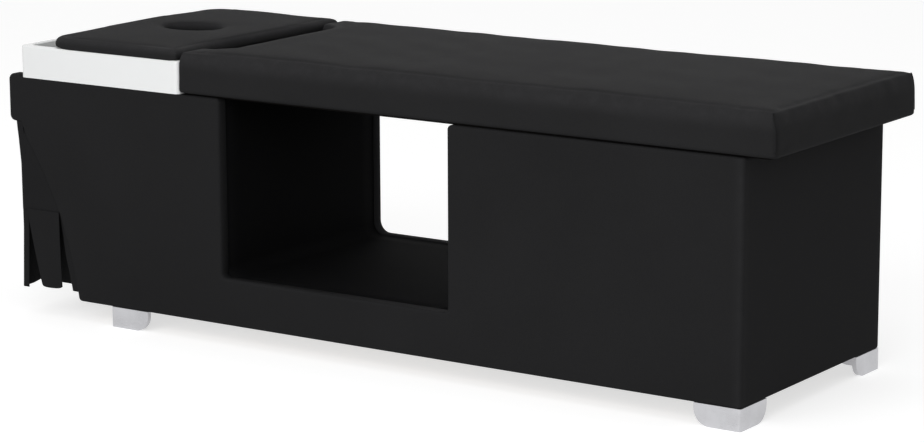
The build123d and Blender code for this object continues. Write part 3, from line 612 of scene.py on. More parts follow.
@dataclass(frozen=True)
class Moulded(Finish):
    """Moulded plastic, rubber or painted steel: a fine skin texture over one colour, with dust in it."""

    name: str
    colour: Triple
    dust: Triple
    roughness: float
    texture_per_metre: float = 900.0
    texture_depth: float = 0.00006
    dust_share: float = 0.12

    def build(self) -> bpy.types.Material:
        """The moulded material."""
        graph = Graph(self.title)
        skin = graph.noise(self.texture_per_metre, 3.0, 0.6)
        patches = graph.spread(graph.noise(24.0, 4.0, 0.6), 0.45, 0.8, 0.0, self.dust_share)
        graph.feed(Base_Color=graph.blend(patches, self.colour, self.dust),
                   Roughness=graph.spread(skin, 0.25, 0.75, self.roughness - 0.04, self.roughness + 0.06),
                   Normal=graph.relief(skin, self.texture_depth))
        return graph.material


@dataclass(frozen=True)
class Timber(Finish):
    """Sawn softwood or plywood: growth lines that run along one axis, saw marks and odd knots."""

    name: str
    colour: Triple
    late: Triple
    lay: Lay
    shine: float = 0.4

    def build(self) -> bpy.types.Material:
        """The timber's material."""
        graph = Graph(self.title)
        growth = graph.noise(1.0, 5.0, 0.55, graph.stretched(self.lay.scale(62.0, 2.2)))
        fibre = graph.noise(1.0, 3.0, 0.6, graph.stretched(self.lay.scale(900.0, 26.0)))
        tone = graph.blend(graph.spread(growth, 0.35, 0.66), self.colour, self.late)
        knots = graph.spread(graph.noise(5.5, 1.0, 0.3), 0.71, 0.78, 0.0, 0.6)
        rings = graph.relief(growth, 0.0004, 0.6)
        graph.feed(Base_Color=graph.blend(knots, tone, tuple(c * 0.45 for c in self.late)),
                   Roughness=graph.spread(fibre, 0.2, 0.8, 0.62, 0.82),
                   Normal=graph.relief(fibre, 0.0002, 0.8, rings))
        graph.set(Specular_IOR_Level=self.shine)
        return graph.material


@dataclass(frozen=True)
class PaleFloor(Finish):
    """Pale floor that reads as white to the camera and to reflections, and keeps the bed's shadow."""

    name: str
    colour: Triple
    glow: float

    def build(self) -> bpy.types.Material:
        """The floor's material."""
        graph = Graph(self.title)
        path = graph.node("LightPath")
        seen = path.outputs["Is Camera Ray"]
        for ray in ("Is Glossy Ray", "Is Transmission Ray"):
            seen = graph.total(seen, path.outputs[ray], "MAXIMUM")
        graph.feed(Emission_Strength=graph.spread(seen, 0.0, 1.0, 0.0, self.glow))
        graph.set(Base_Color=self.colour, Roughness=0.9, Specular_IOR_Level=0.0,
                  Emission_Color=(1.0, 1.0, 1.0))
        return graph.material


BASE_LEATHERETTE = Leatherette(
    "base_leatherette", "base_leatherette", (0.0195, 0.0195, 0.0202), (0.038, 0.038, 0.04), roughness=0.7)
MATTRESS_LEATHERETTE = Leatherette(
    "mattress_leatherette", "mattress_leatherette", (0.0222, 0.0222, 0.0229), (0.044, 0.044, 0.046),
    roughness=0.66)
# The niche's lining is the base's leatherette made darker: painted shade, for the shade that lies in the
# niche.
SHADED_LINING_LEATHERETTE = Leatherette(
    "shaded_lining_leatherette", "base_leatherette", (0.005, 0.005, 0.0053), (0.014, 0.014, 0.015),
    roughness=0.78, shine=0.02)
CURTAIN_LEATHERETTE = Leatherette(
    "curtain_leatherette", "curtain_cloth", (0.018, 0.018, 0.0187), (0.036, 0.036, 0.038),
    roughness=0.72, wave_depth=0.003)
GLAZE = Glaze("glazed_ceramic", (0.86, 0.87, 0.87))
LEG_STEEL = Metal("polished_steel", (0.56, 0.56, 0.58), 0.27, Lay.ALONG)
CHROME = Metal("tap_chrome", (0.8, 0.81, 0.83), 0.08, Lay.UPRIGHT, 0.02, 0.00001)
STRAINER_STEEL = Metal("strainer_steel", (0.66, 0.67, 0.68), 0.24, Lay.UPRIGHT)
ZINC = Metal("zinc_plate", (0.6, 0.61, 0.63), 0.36, Lay.ACROSS)
BRASS = Metal("bare_brass", (0.7, 0.52, 0.24), 0.3, Lay.UPRIGHT)
COPPER = Metal("bare_copper", (0.72, 0.4, 0.26), 0.27, Lay.UPRIGHT)
BLACK_STEEL = Moulded("black_powder_coat", (0.014, 0.014, 0.015), (0.07, 0.07, 0.07), 0.5)
RUBBER = Moulded("soft_rubber", (0.022, 0.022, 0.023), (0.1, 0.1, 0.098), 0.62)
PLASTIC = Moulded("plumbing_plastic", (0.82, 0.82, 0.8), (0.6, 0.58, 0.54), 0.38)
PINE = ((0.62, 0.45, 0.26), (0.47, 0.3, 0.15))
PINE_ALONG = Timber("pine_along", *PINE, Lay.ALONG)
PINE_ACROSS = Timber("pine_across", *PINE, Lay.ACROSS)
PINE_UPRIGHT = Timber("pine_upright", *PINE, Lay.UPRIGHT)
BIRCH = ((0.58, 0.43, 0.27), (0.47, 0.33, 0.19))
PLYWOOD = Timber("plywood", *BIRCH, Lay.ALONG)
PLYWOOD_ACROSS = Timber("plywood_across", *BIRCH, Lay.ACROSS)
# Plywood darkened almost to black: painted shade. The boards under the mattress and the pad stand for the
# shadow gaps below them, and the rails and head wall for shade in the recesses.
SHADE_DARK_PLYWOOD = Timber("shade_dark_plywood", (0.006, 0.0055, 0.005), (0.004, 0.0035, 0.0035),
                         Lay.ALONG, shine=0.02)
PALE_FLOOR = PaleFloor("pale_floor", (0.62, 0.62, 0.62), glow=0.66)


def dress(finish: Finish, *nodes: str) -> None:
    """Gives CAD nodes a finish.

    Args:
        finish: what they are made of.
        nodes: their names.
    """
    for name in nodes:
        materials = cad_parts[name].data.materials
        materials.clear()
        materials.append(finish.material())
        log.info("CAD node %s is %s", name, finish.name)


# Sub-assemblies


@dataclass
class Cushion:
    """A stuffed piece: a closed start form, swelled by a cloth simulation and capped."""

    voxel: float = 0.006
    pressure: float = 4.0
    frames: int = 20
    quality: int = 5
    most_move: float = 0.006

    def swell(self, piece: bpy.types.Object, rests_below: float) -> None:
        """Remeshes a closed form, blows it up as cloth and keeps each point near its start.

        Only the outward part of a point's move counts, so that no edge is lost. A move m becomes m times
        the cap over the cap plus m, and the underside below a height stays where it is.

        Args:
            piece: the closed form.
            rests_below: the height under which points are held.
        """
        remesh = piece.modifiers.new("remesh", "REMESH")
        remesh.mode = "VOXEL"
        remesh.voxel_size = self.voxel
        apply_modifiers(piece)
        start = vertices(piece)
        outward = vertices(piece, "normal")
        held = piece.vertex_groups.new(name="held")
        held.add(np.flatnonzero(start[:, 2] < rests_below).tolist(), 1.0, "REPLACE")
        cloth = piece.modifiers.new("cloth", "CLOTH")
        cloth.settings.use_pressure = True
        cloth.settings.uniform_pressure_force = self.pressure
        cloth.settings.effector_weights.gravity = 0.0
        cloth.settings.vertex_group_mass = "held"
        cloth.settings.quality = self.quality
        scene = bpy.context.scene
        for step in range(1, self.frames + 1):
            scene.frame_set(step)
        apply_modifiers(piece)
        scene.frame_set(1)
        swelled = ((vertices(piece) - start) * outward).sum(1, keepdims=True).clip(min=0)
        set_vertices(piece, start + outward * swelled * self.most_move / (self.most_move + swelled))
        piece.data.shade_smooth()

    @staticmethod
    def shares(points: np.ndarray, head_x: float, foot_x: float,
               half_width: float) -> tuple[np.ndarray, np.ndarray]:
        """How far points lie across and along a piece, each from -1 to 1 with 0 in the middle."""
        along = (points[:, 0] - (head_x + foot_x) / 2) / (foot_x - (head_x + foot_x) / 2)
        return np.clip(points[:, 1] / half_width, -1, 1), np.clip(along, -1, 1)

    @staticmethod
    def rub(piece: bpy.types.Object, most: float, rise: tuple[float, float],
            fall: tuple[float, float]) -> None:
        """Wears a piece in a band round its top edge.

        Args:
            piece: the finished piece.
            most: the share of wear in the middle of the band.
            rise: the heights between which the wear grows.
            fall: the heights between which it ends.
        """
        z = vertices(piece)[:, 2]
        mark_wear(piece, most * smooth_share(z, *rise) * (1 - smooth_share(z, *fall)))


@dataclass
class Mattress:
    """The long mattress: a taut foam block in leatherette, with a neck recess at its head end."""

    head_x: float = -0.4835
    foot_x: float = 0.978
    half_width: float = 0.304
    bottom: float = 0.548
    top: float = 0.645
    waist: float = 0.003
    crown: float = 0.005
    corner: float = 0.011
    recess_half: float = 0.21
    recess_depth: float = 0.061
    recess_corner: float = 0.048
    end_tightness: float = 0.36
    corner_reach: float = 0.16
    edge_round: float = 0.025
    roll_drop: float = 0.042
    low_round: float = 0.003
    swell_room: float = 0.003
    foot_bulge: float = 0.003
    least_round: float = 0.0008
    longest_stretch: float = 0.02
    broad_slack: float = 0.0011
    broad_wave: float = 0.42
    fine_slack: float = 0.0007
    fine_wave: float = 0.12
    gather_depth: float = 0.0028
    gather_wave: float = 0.055
    seam_radius: float = 0.0011
    seam_foot: float = 0.012
    seam_start: float = 0.004
    cushion: Cushion = field(default_factory=Cushion)

    def outline(self, inset: float) -> np.ndarray:
        """The mattress in plan, drawn in by an inset, always with the same number of points.

        Corners that stand out lose the inset from their radius and the recess's inner ones gain theirs.
        The ends and the recess are tighter and take only a share of the inset, as the long sides do
        close to the ends.

        Args:
            inset: how far inside the true outline.

        Returns:
            Points against the clock.
        """
        lip = inset * self.end_tightness
        x0, x1, half = self.head_x + lip, self.foot_x + self.foot_bulge - lip, self.half_width - lip
        recess_x, recess = self.head_x + self.recess_depth + lip, self.recess_half + lip
        corners = np.array([(x0, -half), (x1, -half), (x1, half), (x0, half),
                            (x0, recess), (recess_x, recess), (recess_x, -recess), (x0, -recess)])
        out, deep = max(self.corner - lip, self.least_round), self.recess_corner + lip
        return rounded_outline(corners, [out, out, out, out, out, deep, deep, out], 8)

    def fuller(self, ring: np.ndarray, inset: float) -> np.ndarray:
        """Draws a ring's long sides in by what the outline left of their inset, away from the ends.

        Args:
            ring: the ring's points in plan.
            inset: the ring's inset.

        Returns:
            The ring with its whole inset along the long sides.
        """
        away = np.minimum(ring[:, 0] - self.head_x, self.foot_x - ring[:, 0])
        on_side = 1 - smooth_share(self.half_width - np.abs(ring[:, 1]), 0.03, 0.06)
        left = inset * (1 - self.end_tightness) * smooth_share(away, 0.0, self.corner_reach) * on_side
        return ring - np.column_stack([np.zeros(len(ring)), np.sign(ring[:, 1]) * left])

    def start_form(self) -> tuple[np.ndarray, list]:
        """The start form: rings of the outline up the sides, with flat ends.

        The rings' insets follow a quarter circle at the bottom edge, a straight side and a quarter
        ellipse at the top edge, so that the rolls of two sides meet in a mitre.

        Returns:
            Points and faces of the closed form.
        """
        top = self.top - self.crown - self.swell_room
        levels = [(inset, self.bottom + depth) for inset, depth in quarter_round(self.low_round, 4)]
        drop = self.roll_drop / self.edge_round
        levels += [(inset, top - depth * drop) for inset, depth in quarter_round(self.edge_round, 13)[::-1]]
        counts = stretch_counts(self.outline(0), self.longest_stretch)
        rings = [at_height(self.fuller(resampled(self.outline(inset), counts), inset), z)
                 for inset, z in levels]
        return np.concatenate(rings), capped(len(rings), len(rings[0]))

    def finished(self, points: np.ndarray) -> np.ndarray:
        """Adds crown, waist, corner pull and slack to the swelled form.

        The top rises by the crown times one less the square of the way across. The long sides draw
        in by the waist times one less the square of the way along. Seeded waves give the leatherette
        its slackness, deepest near the top edge of the foot end, where it is gathered.

        Args:
            points: the swelled form's vertices.

        Returns:
            The finished vertices.
        """
        made = points.copy()
        across, along = self.cushion.shares(points, self.head_x, self.foot_x, self.half_width)
        upper = smooth_share(points[:, 2], self.bottom + 0.03, self.top - 0.01)
        made[:, 2] += upper * self.crown * (1 - across ** 2) * (1 - along ** 4)
        made[:, 1] -= np.sign(across) * np.abs(across) ** 3 * self.waist * (1 - along ** 2)
        off_base = smooth_share(points[:, 2], self.bottom, self.bottom + 0.02)
        made[:, 2] += self.broad_slack * slack(points, self.broad_wave, 11) * off_base
        made += self.fine_slack * off_base[:, None] * slack(points * (1, 1, 2.0), self.fine_wave, 12)[:, None]
        foot = smooth_share(points[:, 0], self.foot_x - 0.09, self.foot_x - 0.005)
        edge = foot * smooth_share(points[:, 2], self.top - 0.05, self.top - 0.012)
        gather = 0.5 + 0.5 * slack(points * (0.2, 1, 0.5), self.gather_wave, 13)
        made[:, 0] -= self.gather_depth * edge * gather
        return made

    def corner_seam(self, skin: BVHTree, side: Side, lip: Lip) -> np.ndarray:
        """One lip of a foot corner's closed seam, up the corner and in over the roll.

        Points off the corner along its mitre are brought to the nearest place on the skin and stand out
        from it by a part of the seam's radius.

        Args:
            skin: the finished mattress.
            side: which side's corner.
            lip: which of the seam's lips.

        Returns:
            The seam's points.
        """
        rise = steps(0.0, 1.0, 40)
        inward = self.edge_round * self.end_tightness * smooth_share(rise, 0.6, 1.0)
        apart = lip.value * self.seam_radius * 1.1
        x = self.foot_x + self.seam_start - inward + apart
        y = side.value * (self.half_width + self.seam_start / 2 - inward - apart)
        low, high = self.bottom + self.seam_foot, self.top + self.seam_start
        start = np.column_stack([x, y, low + (high - low) * rise])
        places = []
        for point in start:
            place, outward, _, _ = skin.find_nearest(Vector(point))
            places.append(place + outward * self.seam_radius * 0.25)
        return np.array(places)

    def build(self) -> None:
        """Builds the cushion and its seams."""
        points, faces = self.start_form()
        piece = new_piece("mattress", points, faces, MATTRESS_LEATHERETTE)
        self.cushion.swell(piece, self.bottom + 0.004)
        set_vertices(piece, self.finished(vertices(piece)))
        shape = vertices(piece)
        self.cushion.rub(piece, 0.4, (self.top - 0.05, self.top - 0.02), (self.top - 0.009, self.top - 0.002))
        soften(piece)
        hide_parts("mattress_cover", "mattress_foam")
        skin = BVHTree.FromPolygons(shape.tolist(), [tuple(face.vertices) for face in piece.data.polygons])
        for side in Side:
            for lip in Lip:
                tube(f"{side.label}_corner_seam_{lip.label}", self.corner_seam(skin, side, lip),
                     self.seam_radius, MATTRESS_LEATHERETTE)
        log.info("mattress built, %d vertices", len(shape))
        # The mattress's board is near black: painted shade for the shadow gap between the mattress and the
        # base.
        dress(SHADE_DARK_PLYWOOD, "mattress_board")
        dress(ZINC, "mattress_screws")


@dataclass
class HeadPad:
    """The lift-off pad over the basin, with an oval hole for the face."""

    head_x: float = -0.867
    foot_x: float = -0.487
    half_width: float = 0.3012
    bottom: float = 0.6173
    top: float = 0.6443
    crown: float = 0.003
    head_corner: float = 0.06
    foot_corner: float = 0.011
    lip_drop: float = 0.0052
    edge_round: float = 0.0155
    hole_x: float = -0.682
    hole_length: float = 0.14
    hole_width: float = 0.108
    mouth_round: float = 0.011
    swell_room: float = 0.001
    least_round: float = 0.0008
    longest_stretch: float = 0.004
    hole_flare: float = 0.002
    under_draw: float = 0.0006
    slack_height: float = 0.0008
    slack_wave: float = 0.22
    around: int = 240
    cushion: Cushion = field(default_factory=lambda: Cushion(voxel=0.004, most_move=0.004))

    def outer(self, inset: float, angle: np.ndarray) -> np.ndarray:
        """Points of the outer outline in the given directions from the hole's centre.

        Args:
            inset: how far inside the true outline.
            angle: directions from the hole's centre.

        Returns:
            Points in plan.
        """
        x0, x1, half = self.head_x + inset, self.foot_x - inset, self.half_width - inset
        corners = np.array([(x0, -half), (x1, -half), (x1, half), (x0, half)])
        head, foot = self.head_corner - inset, max(self.foot_corner - inset, self.least_round)
        sparse = rounded_outline(corners, [head, foot, foot, head], 24)
        dense = resampled(sparse, stretch_counts(sparse, self.longest_stretch))
        away = dense - (self.hole_x, 0)
        at = np.arctan2(away[:, 1], away[:, 0])
        order = np.argsort(at)
        far = np.interp(angle, at[order], np.linalg.norm(away, axis=1)[order], period=2 * math.pi)
        return np.stack([self.hole_x + far * np.cos(angle), far * np.sin(angle)], axis=1)

    def hole(self, growth: float, angle: np.ndarray) -> np.ndarray:
        """Points of the oval hole: half length and half width times cosine and sine."""
        return np.stack([self.hole_x + (self.hole_length / 2 + growth) * np.cos(angle),
                         (self.hole_width / 2 + growth) * np.sin(angle)], axis=1)

    def start_form(self) -> tuple[np.ndarray, list]:
        """A ring closed both ways round: hole wall, top, outer wall and underside.

        Across the top a point lies between the hole's edge and the outer edge by its share. At both
        edges a quarter circle gives inset and drop.

        Returns:
            Points and faces of the closed form.
        """
        angle = steps(-math.pi, math.pi, self.around + 1)[:-1]
        angle = np.arctan2(np.sin(angle) * 0.9, np.cos(angle))
        top, room = self.top - self.crown - self.swell_room, self.swell_room
        rows = [at_height(self.hole(inset + room, angle), top - depth)
                for inset, depth in quarter_round(self.mouth_round, 7)[::-1]]
        mouth, brink = self.hole(self.mouth_round + room, angle), self.outer(self.edge_round + room, angle)
        rows += [at_height(mouth + (brink - mouth) * share, top) for share in steps(0, 1, 12)[1:-1]]
        rows += [at_height(self.outer(inset + room, angle), top - depth)
                 for inset, depth in quarter_round(self.edge_round, 9)]
        mouth, brink = self.hole(room + self.hole_flare, angle), self.outer(room + self.under_draw, angle)
        rows += [at_height(mouth * (1 - share) + brink * share, self.bottom) for share in steps(1, 0, 8)]
        points = np.stack(rows)
        return points.reshape(-1, 3), grid_faces(len(rows), self.around, True, True).tolist()

    def build(self) -> None:
        """Builds the pad's cushion and dresses its board and stops.

        The top rises by the crown times one less the square of the way across, and a little less
        towards both ends. The long edges drop by a lip over the basin's rim.
        """
        points, faces = self.start_form()
        piece = new_piece("head_pad", points, faces, MATTRESS_LEATHERETTE, HEAD_PAD)
        self.cushion.swell(piece, self.bottom + 0.003)
        shape = vertices(piece)
        across, along = self.cushion.shares(shape, self.head_x, self.foot_x, self.half_width)
        upper = smooth_share(shape[:, 2], self.bottom + 0.008, self.top - 0.008)
        shape[:, 2] += upper * self.crown * (1 - across ** 2) * (1 - 0.5 * along ** 2)
        shape[:, 2] += upper * self.slack_height * slack(shape, self.slack_wave, 21)
        over_rim = smooth_share(np.abs(shape[:, 1]), self.half_width - 0.005, self.half_width - 0.0015)
        low = 1 - smooth_share(shape[:, 2], self.bottom + 0.001, self.bottom + 0.016)
        shape[:, 2] -= self.lip_drop * over_rim * low
        set_vertices(piece, shape)
        self.cushion.rub(piece, 0.5, (self.top - 0.018, self.top - 0.008),
                         (self.top - 0.006, self.top - 0.001))
        soften(piece)
        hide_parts("pad_cover", "pad_foam")
        log.info("head pad built, %d vertices", len(shape))
        # The pad's board is near black: painted shade for the shadow gap under the pad.
        dress(SHADE_DARK_PLYWOOD, "pad_board")
        dress(RUBBER, "pad_stops")


@dataclass
class BaseWrap:
    """The leatherette round the base: one skin from the near side round the foot end to the far side.

    The skin is drawn unfolded, with s along the base, z up and a depth behind its face. It is cut where
    it has to bend and then folded round the two foot corners.
    """

    head_x: float = -0.944
    foot_x: float = 0.912
    half_width: float = 0.3
    bottom: float = 0.046
    top: float = 0.544
    thickness: float = 0.026
    edge_round: float = 0.006
    knee_round_share: float = 0.3
    corner_round: float = 0.009
    outer_corner: float = 0.0098
    flat_band: float = 0.003
    niche_head_x: float = -0.375
    niche_foot_x: float = 0.22
    niche_floor: float = 0.149
    near_notch_round: float = 0.011
    far_notch_round: float = 0.028
    knee_foot_x: float = -0.786
    knee_top: float = 0.425
    knee_bow: float = 0.028
    rail_head_x: float = -0.978
    rail_top: float = 0.55
    rail_low: float = 0.443
    rail_round: float = 0.014
    fold_in: float = 0.022
    lap: float = 0.001
    crease_room: float = 0.004
    rail_sag: float = 0.004
    lining_recess: float = 0.003
    lining_skin: float = 0.0045
    lining_cove: float = 0.03
    cloth: float = 0.0012

    @property
    def bend(self) -> float:
        """The length of skin that one foot corner takes."""
        return self.corner_round * math.pi / 2

    @property
    def end_width(self) -> float:
        """The width of the foot end between its two corner arcs."""
        return 2 * (self.half_width - self.corner_round)

    def knee_arc(self, count: int) -> np.ndarray:
        """The knee's edge from its top to its foot: a chord plus a bow of four t times one less t.

        Args:
            count: how many points.

        Returns:
            Points in X and Z.
        """
        t = steps(0, 1, count)[:, None]
        start = np.array([self.head_x, self.knee_top])
        end = np.array([self.knee_foot_x, self.bottom])
        chord = end - start
        left = np.array([chord[1], -chord[0]]) / np.linalg.norm(chord)
        return start + chord * t - left * self.knee_bow * 4 * t * (1 - t)

    def side_corners(self, notch: float) -> tuple[list, list[float]]:
        """The corners of one side in X and Z: niche, rail end and knee, from the foot to the knee's foot.

        Args:
            notch: the radius of the niche's lower corners.

        Returns:
            The corners and their radii.
        """
        small, turn = self.outer_corner, self.rail_round
        points = [(self.niche_foot_x, self.top), (self.niche_foot_x, self.niche_floor),
                  (self.niche_head_x, self.niche_floor), (self.niche_head_x, self.top)]
        radii = [small, notch, notch, small]
        drop = self.top - self.rail_top + turn
        angle = steps(math.asin(drop / turn), math.pi / 2, 7)
        points += list(zip(self.head_x - turn + turn * np.cos(angle),
                           self.rail_top - turn + turn * np.sin(angle)))
        radii += [0.0] * len(angle)
        points += [(self.rail_head_x, self.rail_top), (self.rail_head_x, self.rail_low),
                   (self.head_x - 0.001, self.rail_low - 0.003)]
        radii += [turn, turn, 0.004]
        arc = self.knee_arc(17)[1:]
        points += [tuple(p) for p in arc]
        radii += [0.0] * (len(arc) - 1) + [small]
        return points, radii

    def unfolded_outline(self) -> np.ndarray:
        """The whole skin's outline in s and z, against the clock as seen from outside.

        On the near side s is X less the near corner's start. On the far side it is the length of both
        corners and the foot end, plus the corner's start less X.

        Returns:
            The outline's points.
        """
        start = self.foot_x - self.corner_round
        beyond = 2 * self.bend + self.end_width
        near, near_radii = self.side_corners(self.near_notch_round)
        far, far_radii = self.side_corners(self.far_notch_round)
        near_s = [(x - start, z) for x, z in near]
        far_s = [(beyond + start - x, z) for x, z in far][::-1]
        return rounded_outline(np.array(far_s + near_s), far_radii[::-1] + near_radii, 8)

    def folded(self, flat: np.ndarray) -> np.ndarray:
        """Folds unfolded points round the foot corners.

        On a corner the radius is the corner's less the depth, and s over the corner's radius is the
        angle. Close to a corner the depth is held to the distance from it, so that the two sides'
        returns meet in a mitre.

        Args:
            flat: rows of s, z and depth.

        Returns:
            The points in space.
        """
        s, z, depth = flat.T
        r, bend, width = self.corner_round, self.bend, self.end_width
        far = s > bend + width / 2
        along = np.where(far, 2 * bend + width - s, s)
        past = np.maximum(np.maximum(-along, along - bend), 0)
        depth = np.minimum(depth, 0.94 * r + past)
        angle = np.clip(along, 0, bend) / r
        straight = np.clip(along - bend, 0, None)
        x = self.foot_x - r + np.minimum(along, 0) + (r - depth) * np.sin(angle)
        y = -self.half_width + r + straight - (r - depth) * np.cos(angle)
        return np.column_stack([x, np.where(far, -y, y), z])

    def build_skin(self) -> bpy.types.Object:
        """The skin: a flat face, a rounded rim carried along the outline, and a return behind it.

        Returns:
            The new object.
        """
        path = self.unfolded_outline()
        inward = outline_normals(path)
        behind_board = self.thickness + self.lap
        profile = np.vstack([[(self.edge_round + self.flat_band, 0.0)], quarter_round(self.edge_round, 6),
                             [(0.0, self.thickness), (2 * self.lap, behind_board),
                              (self.fold_in, behind_board)]])
        beyond = 2 * self.bend + self.end_width
        x = np.where(path[:, 0] < self.bend, path[:, 0], beyond - path[:, 0])
        x = x + self.foot_x - self.corner_round
        on_knee = smooth_share(-x, -self.knee_foot_x - 0.02, -self.knee_foot_x + 0.01)
        on_knee *= 1 - smooth_share(path[:, 1], self.knee_top - 0.03, self.knee_top)
        share = 1 - on_knee * (1 - self.knee_round_share)
        rows = []
        for inset, depth in profile:
            tight = share[:, None] if depth <= self.edge_round and inset <= self.edge_round else 1.0
            behind = depth * share if depth <= self.edge_round else np.full(len(path), depth)
            rows.append(np.column_stack([path + inward * inset * tight, behind]))
        count = len(path)
        faces = grid_faces(len(rows), count, wrap_columns=True)[:, ::-1].tolist() + [list(range(count))]
        skin = new_piece("base_wrap", np.concatenate(rows), faces, BASE_LEATHERETTE, outward=False)
        turns = steps(0, self.bend, 9)
        stations = [*turns, *(beyond - turns)]
        for off in (self.thickness - self.corner_round, self.crease_room):
            stations += [-off, self.bend + off, beyond - self.bend - off, beyond + off]
        with editing(skin.data) as work:
            for station in stations:
                bmesh.ops.bisect_plane(work, geom=[*work.verts, *work.edges, *work.faces],
                                       plane_co=(station, 0, 0), plane_no=(1, 0, 0), dist=1e-7)
        flat = vertices(skin)
        set_vertices(skin, self.folded(flat))
        rim_share = np.clip(flat[:, 2] / self.edge_round, 0, 1) * (flat[:, 2] < self.edge_round * 1.01)
        from_corner = np.minimum(np.abs(flat[:, 0] - self.bend / 2),
                                 np.abs(flat[:, 0] - beyond + self.bend / 2))
        near_corner = 1 - smooth_share(from_corner, 0.004, 0.02)
        mark_wear(skin, np.maximum(0.35 * rim_share, 0.3 * near_corner))
        skin.data.shade_smooth()
        return skin

    def build_rail(self) -> bpy.types.Object:
        """The head rail's skin: a rounded section carried across, swelled and sagged between its ends.

        The swell is a cosine across the bed under a parabola. The sag draws the upper part down.

        Returns:
            The new object.
        """
        x0, x1, low, high = self.rail_head_x, self.head_x, self.rail_low, self.rail_top
        turn = self.rail_round
        corners = np.array([(x0, low), (x1, low), (x1, high), (x0, high)])
        outline = rounded_outline(corners, [turn, 0.002, turn, turn], 8)
        outline = resampled(outline, stretch_counts(outline, 0.012))
        inward = outline_normals(outline)
        half = self.half_width - self.edge_round
        upper = smooth_share(outline[:, 1], high - 0.03, high - 0.006)
        rows = []
        for y in steps(-half, half, 40):
            swell = 0.0005 - 0.0009 * (1 - (y / half) ** 2) * (0.6 + 0.4 * math.cos(y * 21))
            ring = outline + inward * swell
            ring[:, 1] -= self.rail_sag * float(smooth_share(np.array(half - abs(y)), 0.0, 0.012)) * upper
            rows.append(upright(ring, y))
        faces = capped(len(rows), len(outline), flip=True)
        piece = new_piece("head_rail_wrap", np.concatenate(rows), faces, BASE_LEATHERETTE)
        mark_wear(piece, 0.5 * smooth_share(vertices(piece)[:, 2], high - 0.014, high - 0.003))
        return piece

    def build_lining(self) -> bpy.types.Object:
        """The niche's lining: a U section with coved corners, carried from side to side.

        Returns:
            The new object.
        """
        high = self.top
        sides = []
        for out, cove in ((0.0, self.lining_cove), (self.lining_skin, self.lining_cove * 0.2)):
            x0, x1 = self.niche_head_x - self.lining_recess, self.niche_foot_x + self.lining_recess
            x0, x1, low = x0 - out, x1 + out, self.niche_floor - self.lining_recess - out
            corners = np.array([(x0, high), (x0, low), (x1, low), (x1, high)])
            sides.append(rounded_outline(corners, [0, cove, cove, 0], 10))
        inner, outer = sides
        section = np.vstack([inner, outer[::-1]])
        reach = self.half_width - self.thickness + 0.0005
        rows = [upright(section, y) for y in steps(-reach, reach, 12)]
        count, strip = len(section), len(inner)
        faces = grid_faces(len(rows), count, wrap_columns=True).tolist()
        for row, flip in ((0, 1), (len(rows) - 1, -1)):
            for k in range(strip - 1):
                quad = [k, k + 1, count - 2 - k, count - 1 - k]
                faces.append([row * count + v for v in quad][::flip])
        # The lining wears the darkened copy of the base leatherette: painted shade of the niche.
        return new_piece("niche_skin", np.concatenate(rows), faces, SHADED_LINING_LEATHERETTE)

    def build(self) -> None:
        """Builds the whole wrap."""
        skin = self.build_skin()
        rail = self.build_rail()
        lining = self.build_lining()
        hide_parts("near_side_cover", "far_side_cover", "foot_end_cover")
        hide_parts("head_rail_cover")
        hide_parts("niche_lining")
        thicken(skin, self.cloth, -1.0)
        log.info("base wrap built, %d vertices", len(skin.data.vertices))


